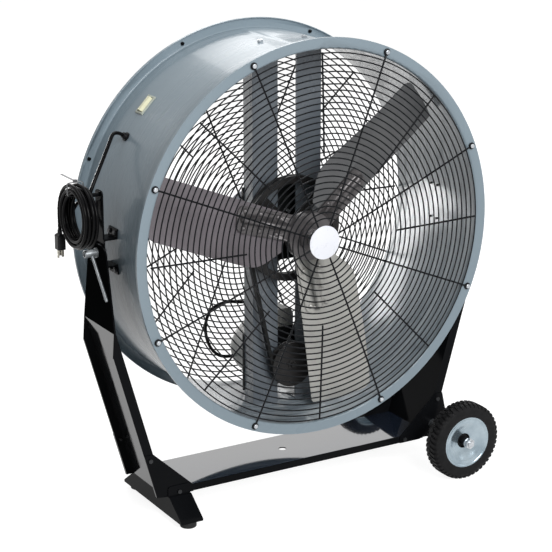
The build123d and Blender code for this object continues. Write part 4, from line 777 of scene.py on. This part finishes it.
# -------------------------------------------------------------- wire guards
# Drawn steel wire, welded and dipped black: rings on long and short spokes, with
# an eyelet under each zinc screw and a round white plate over the middle.
guard_black = coated(
    "guard_black",
    (15, 17, 20),
    (22, 24, 27),
    cloud_size=0.05,
    gloss=(0.25, 0.4),
    grain_size=0.002,
    grain_depth=0.00003,
    mirror=0.12,
)
for side in ("front", "rear"):
    finished(f"{side}_guard", guard_black)


def on_rear_screw(face):
    """True on the rear guard's screws, but for the faces that look to the rear."""
    return face.center.y > 0.0 and face.normal.y < FACING


guard_screws = finished("guard_screws", bright_zinc)
recoated(guard_screws, stand_black, on_rear_screw)

disc_white = coated(
    "disc_white",
    (232, 234, 241),
    (228, 230, 237),
    cloud_size=0.05,
    gloss=(0.25, 0.35),
)
for side in ("front", "rear"):
    finished(f"{side}_centre_disc", disc_white)


# -------------------------------------------------------- struts and plates
# Two folded steel channels across the drum, sprayed grey, with black plates
# bolted to their lips for the bearings and the motor.
strut_grey = coated(
    "strut_grey",
    (100, 107, 114),
    (92, 99, 106),
    cloud_size=0.15,
    gloss=(0.24, 0.34),
    lacquer=0.2,
    grain_size=0.003,
    grain_depth=0.00003,
)
plate_black = coated(
    "plate_black",
    (17, 18, 19),
    (25, 26, 27),
    cloud_size=0.05,
    gloss=(0.3, 0.45),
    grain_size=0.002,
    grain_depth=0.00003,
    mirror=0.3,
)
for side in ("left", "right"):
    finished(f"{side}_strut", strut_grey, SHEET_EDGE)
for node in ("bearing_plate", "motor_plate"):
    finished(node, plate_black, SHEET_EDGE)
finished("drum_bolts", bright_zinc, FINE_EDGE)


# ------------------------------------------------------ bearings and pulleys
# A cast housing with two ball bearings carries the fan's shaft. A V belt
# joins its big spoked pulley to the small one on the motor.
turned_steel = coated(
    "turned_steel",
    (150, 150, 150),
    (120, 120, 120),
    cloud_size=0.01,
    gloss=(0.25, 0.35),
    metal=1.0,
)
cast_iron = coated(
    "cast_iron",
    (21, 20, 20),
    (32, 30, 30),
    cloud_size=0.02,
    gloss=(0.3, 0.5),
    grain_size=0.0015,
    grain_depth=0.00006,
    mirror=0.3,
)
belt_rubber = coated(
    "belt_rubber",
    (22, 22, 22),
    (32, 32, 32),
    cloud_size=0.01,
    gloss=(0.6, 0.8),
    grain_size=0.0008,
    grain_depth=0.00006,
    mirror=0.2,
)
CAST_EDGE = 0.0004
for node in ("bearing_housing", "fan_pulley", "motor_pulley"):
    finished(node, cast_iron, CAST_EDGE)
for node in ("bearings", "fan_shaft", "motor_shaft"):
    finished(node, turned_steel, TURNED_EDGE)
finished("v_belt", belt_rubber)


# -------------------------------------------------------------------- motor
# A rolled steel shell between two cast end bells, with a domed cover on top
# for its capacitor.
motor_silver = coated(
    "motor_silver",
    (170, 170, 166),
    (154, 154, 150),
    cloud_size=0.04,
    gloss=(0.35, 0.5),
    grain_size=0.002,
    grain_depth=0.00004,
)
bell_silver = coated(
    "bell_silver",
    (160, 160, 158),
    (140, 140, 138),
    cloud_size=0.02,
    gloss=(0.4, 0.55),
    metal=0.6,
    grain_size=0.0015,
    grain_depth=0.00010,
)
finished("motor_shell", motor_silver)
finished("capacitor_cover", motor_silver)
for side in ("front", "rear"):
    finished(f"motor_{side}_bell", bell_silver)


# ---------------------------------------------------------------- propeller
# Three twisted blades of aluminium sheet, riveted under the ribbed arms of a
# cast hub. Beside its arm each is folded back along a fine bead. The light falls
# on each of them differently, and each blade's colour is that light and shade
# painted in. The lowest is lightest, as is the hub's arm over it.
BLADES = 3
BLADE_TURN = 43.0
BLADE_ROOT = 0.064
HUB_RADIUS = 0.014
BLADE_TIP = 0.450
OUTLINE_END = 0.460
BLADE_SLOPES = (0.26, 0.33)
BLADE_MIDDLE_Y = (JOINT_PLACE["propeller_spin"] - DRUM_CENTRE).y
BLADE_SHEET = 0.002
BLADE_BOW = 0.009
BOW_REACH = 0.118
FOLD_CHORD = 0.027
FOLD_SLOPE = 0.24
FOLD_END = 0.340
BEAD_HEIGHT = 0.0012
BEAD_HALF_WIDTH = 0.0032
LEADING_CHORDS = (0.052, 0.104, 0.075)
SHOULDER_RADIUS = 0.122
SHOULDER_ROUND = 0.012
TRAILING_CHORDS = (0.040, 0.072)
STRAIGHT_AFTER = 30
TIP_ROUNDS = (0.008, 0.020)
TIP_CLEAR = 0.0006
ROWS = 56
COLUMNS = 64


def between(start, end, share):
    """The value at a share of the way from start to end."""
    return start + (end - start) * share


def eased(share):
    """A share from 0 to 1 that starts and stops smoothly."""
    share = min(1.0, max(0.0, share))
    return share * share * (3 - 2 * share)


def blade_edges(radius):
    """Both edges of a blade along its chord at a radius. The leading one has a round shoulder."""
    root, shoulder, tip = LEADING_CHORDS
    out = (radius - BLADE_ROOT) / (OUTLINE_END - BLADE_ROOT)
    trailing = between(*TRAILING_CHORDS, out)
    near = between(root, shoulder, (radius - BLADE_ROOT) / (SHOULDER_RADIUS - BLADE_ROOT))
    far = between(shoulder, tip, (radius - SHOULDER_RADIUS) / (OUTLINE_END - SHOULDER_RADIUS))
    gap = (far - near) / SHOULDER_ROUND
    if gap > STRAIGHT_AFTER:
        return -trailing, near
    return -trailing, far - SHOULDER_ROUND * math.log(1 + math.exp(gap))


def blade_point(radius, chord):
    """A point of the twisted sheet's front, before the blade is turned to its place."""
    twist = (radius - HUB_RADIUS) / (BLADE_TIP - HUB_RADIUS)
    slope = between(*BLADE_SLOPES, twist)
    bow = BLADE_BOW * (1 - (chord / BOW_REACH) ** 2)
    fading = 1 - eased((radius - SHOULDER_RADIUS) / (FOLD_END - SHOULDER_RADIUS))
    fold = FOLD_SLOPE * max(0.0, chord - FOLD_CHORD) * fading
    bead = BEAD_HEIGHT * max(0.0, 1 - abs(chord - FOLD_CHORD) / BEAD_HALF_WIDTH) * fading
    return Vector((radius, BLADE_MIDDLE_Y - slope * chord + bow + fold - bead, chord))


def tip_reach(share):
    """How far out a blade goes, with both corners of its tip rounded."""
    low, high = blade_edges(BLADE_TIP)
    chord = between(low, high, share)
    reach = math.sqrt((BLADE_TIP - TIP_CLEAR) ** 2 - chord**2)
    for depth, corner in zip((chord - low, high - chord), TIP_ROUNDS):
        if depth < corner:
            reach -= corner - math.sqrt(corner**2 - (corner - depth) ** 2)
    return reach


def blade_shape(number):
    """A flat grid drawn out to the blade's outline, bent, thickened and turned to its place."""
    shape = bmesh.new()
    bmesh.ops.create_grid(shape, x_segments=ROWS, y_segments=COLUMNS, size=0.5)
    for knot in shape.verts:
        row, column = knot.co.x + 0.5, knot.co.y + 0.5
        # The columns stand closer together at both edges, where the tip is rounded.
        share = (column + (1 - math.cos(math.pi * column)) / 2) / 2
        radius = between(BLADE_ROOT, tip_reach(share), row)
        knot.co = blade_point(radius, between(*blade_edges(radius), share))
    shape.normal_update()
    bmesh.ops.solidify(shape, geom=shape.faces, thickness=BLADE_SHEET)
    turn = math.radians(-BLADE_TURN - 360.0 / BLADES * number)
    place = Matrix.Translation(DRUM_CENTRE) @ Matrix.Rotation(turn, 4, "Y")
    bmesh.ops.transform(shape, matrix=place, verts=shape.verts)
    bmesh.ops.recalc_face_normals(shape, faces=shape.faces)
    return shape


# Each blade's colour stands for the light that falls on it: painted light and shade on alike blades.
BLADE_PAINTED_LIGHT = (
    ((104, 105, 106), (90, 91, 93)),
    ((116, 110, 115), (98, 93, 97)),
    ((186, 185, 180), (164, 163, 159)),
)
painted_light_blades = [
    coated(
        f"blade_{number + 1}_metal",
        light,
        dark,
        cloud_size=0.12,
        gloss=(0.3, 0.42),
        metal=0.3,
        grain_size=0.002,
        grain_depth=0.00003,
    )
    for number, (light, dark) in enumerate(BLADE_PAINTED_LIGHT)
]
for number, painted_light_blade in enumerate(painted_light_blades):
    node = f"blade_{number + 1}"
    fitted(f"{node}_sheet", blade_shape(number), painted_light_blade, node)

hub_metal = coated(
    "hub_metal",
    (104, 101, 102),
    (84, 81, 82),
    cloud_size=0.03,
    gloss=(0.28, 0.42),
    metal=0.5,
    grain_size=0.002,
    grain_depth=0.00004,
)
ARM_ROOT = 0.060
LOW_ARM_REACH = 0.12


def painted_light_lowest_arm(face):
    """True over the lowest blade, where the arm and its rivets take that blade's painted light."""
    over = face.center - DRUM_CENTRE
    return over.z < -ARM_ROOT and abs(over.x) < LOW_ARM_REACH


# The hub's arm and rivets over the lowest blade take that blade's lit colour: painted light.
for node, slot in (("propeller_hub", "cast_aluminium"), ("blade_rivets", "zinc")):
    recoated(finished(node, hub_metal), painted_light_blades[-1], painted_light_lowest_arm)


# ------------------------------------------------------- pivots and levers
# Folded steel brackets on the shell hold the pivot studs. A zinc-plated lever
# nut on each stud clamps the arm.
lever_zinc = coated(
    "lever_zinc",
    (136, 140, 143),
    (112, 116, 119),
    cloud_size=0.01,
    gloss=(0.3, 0.45),
    metal=0.7,
    grain_size=0.0012,
    grain_depth=0.00002,
)
for side in ("left", "right"):
    finished(f"{side}_pivot_bracket", stand_black, SHEET_EDGE)
    finished(f"{side}_lock_lever", lever_zinc, TURNED_EDGE)
for node in ("pivot_studs", "pivot_washers"):
    finished(node, bright_zinc, FINE_EDGE)
finished("bracket_bolts", dull_zinc, FINE_EDGE)


# ------------------------------------------------------------------- switch
# A cream rocker in a grey frame on the outside of the shell, with a closed
# box behind it that also takes the lead.
switch_cream = coated(
    "switch_cream",
    (228, 227, 196),
    (220, 219, 186),
    cloud_size=0.01,
    gloss=(0.3, 0.4),
)
box_black = coated(
    "box_black",
    (24, 25, 27),
    (32, 33, 35),
    cloud_size=0.03,
    gloss=(0.35, 0.5),
    grain_size=0.001,
    grain_depth=0.00004,
    mirror=0.3,
)
bezel_grey = coated(
    "bezel_grey",
    (172, 178, 166),
    (160, 166, 156),
    cloud_size=0.01,
    gloss=(0.3, 0.42),
)
BOX_EDGE = 0.0006
BEZEL_EDGE = 0.0003
ROCKER_EDGE = 0.0004
finished("switch_box", box_black, BOX_EDGE)
finished("switch_bezel", bezel_grey, BEZEL_EDGE)
finished("switch_rocker", switch_cream, ROCKER_EDGE)
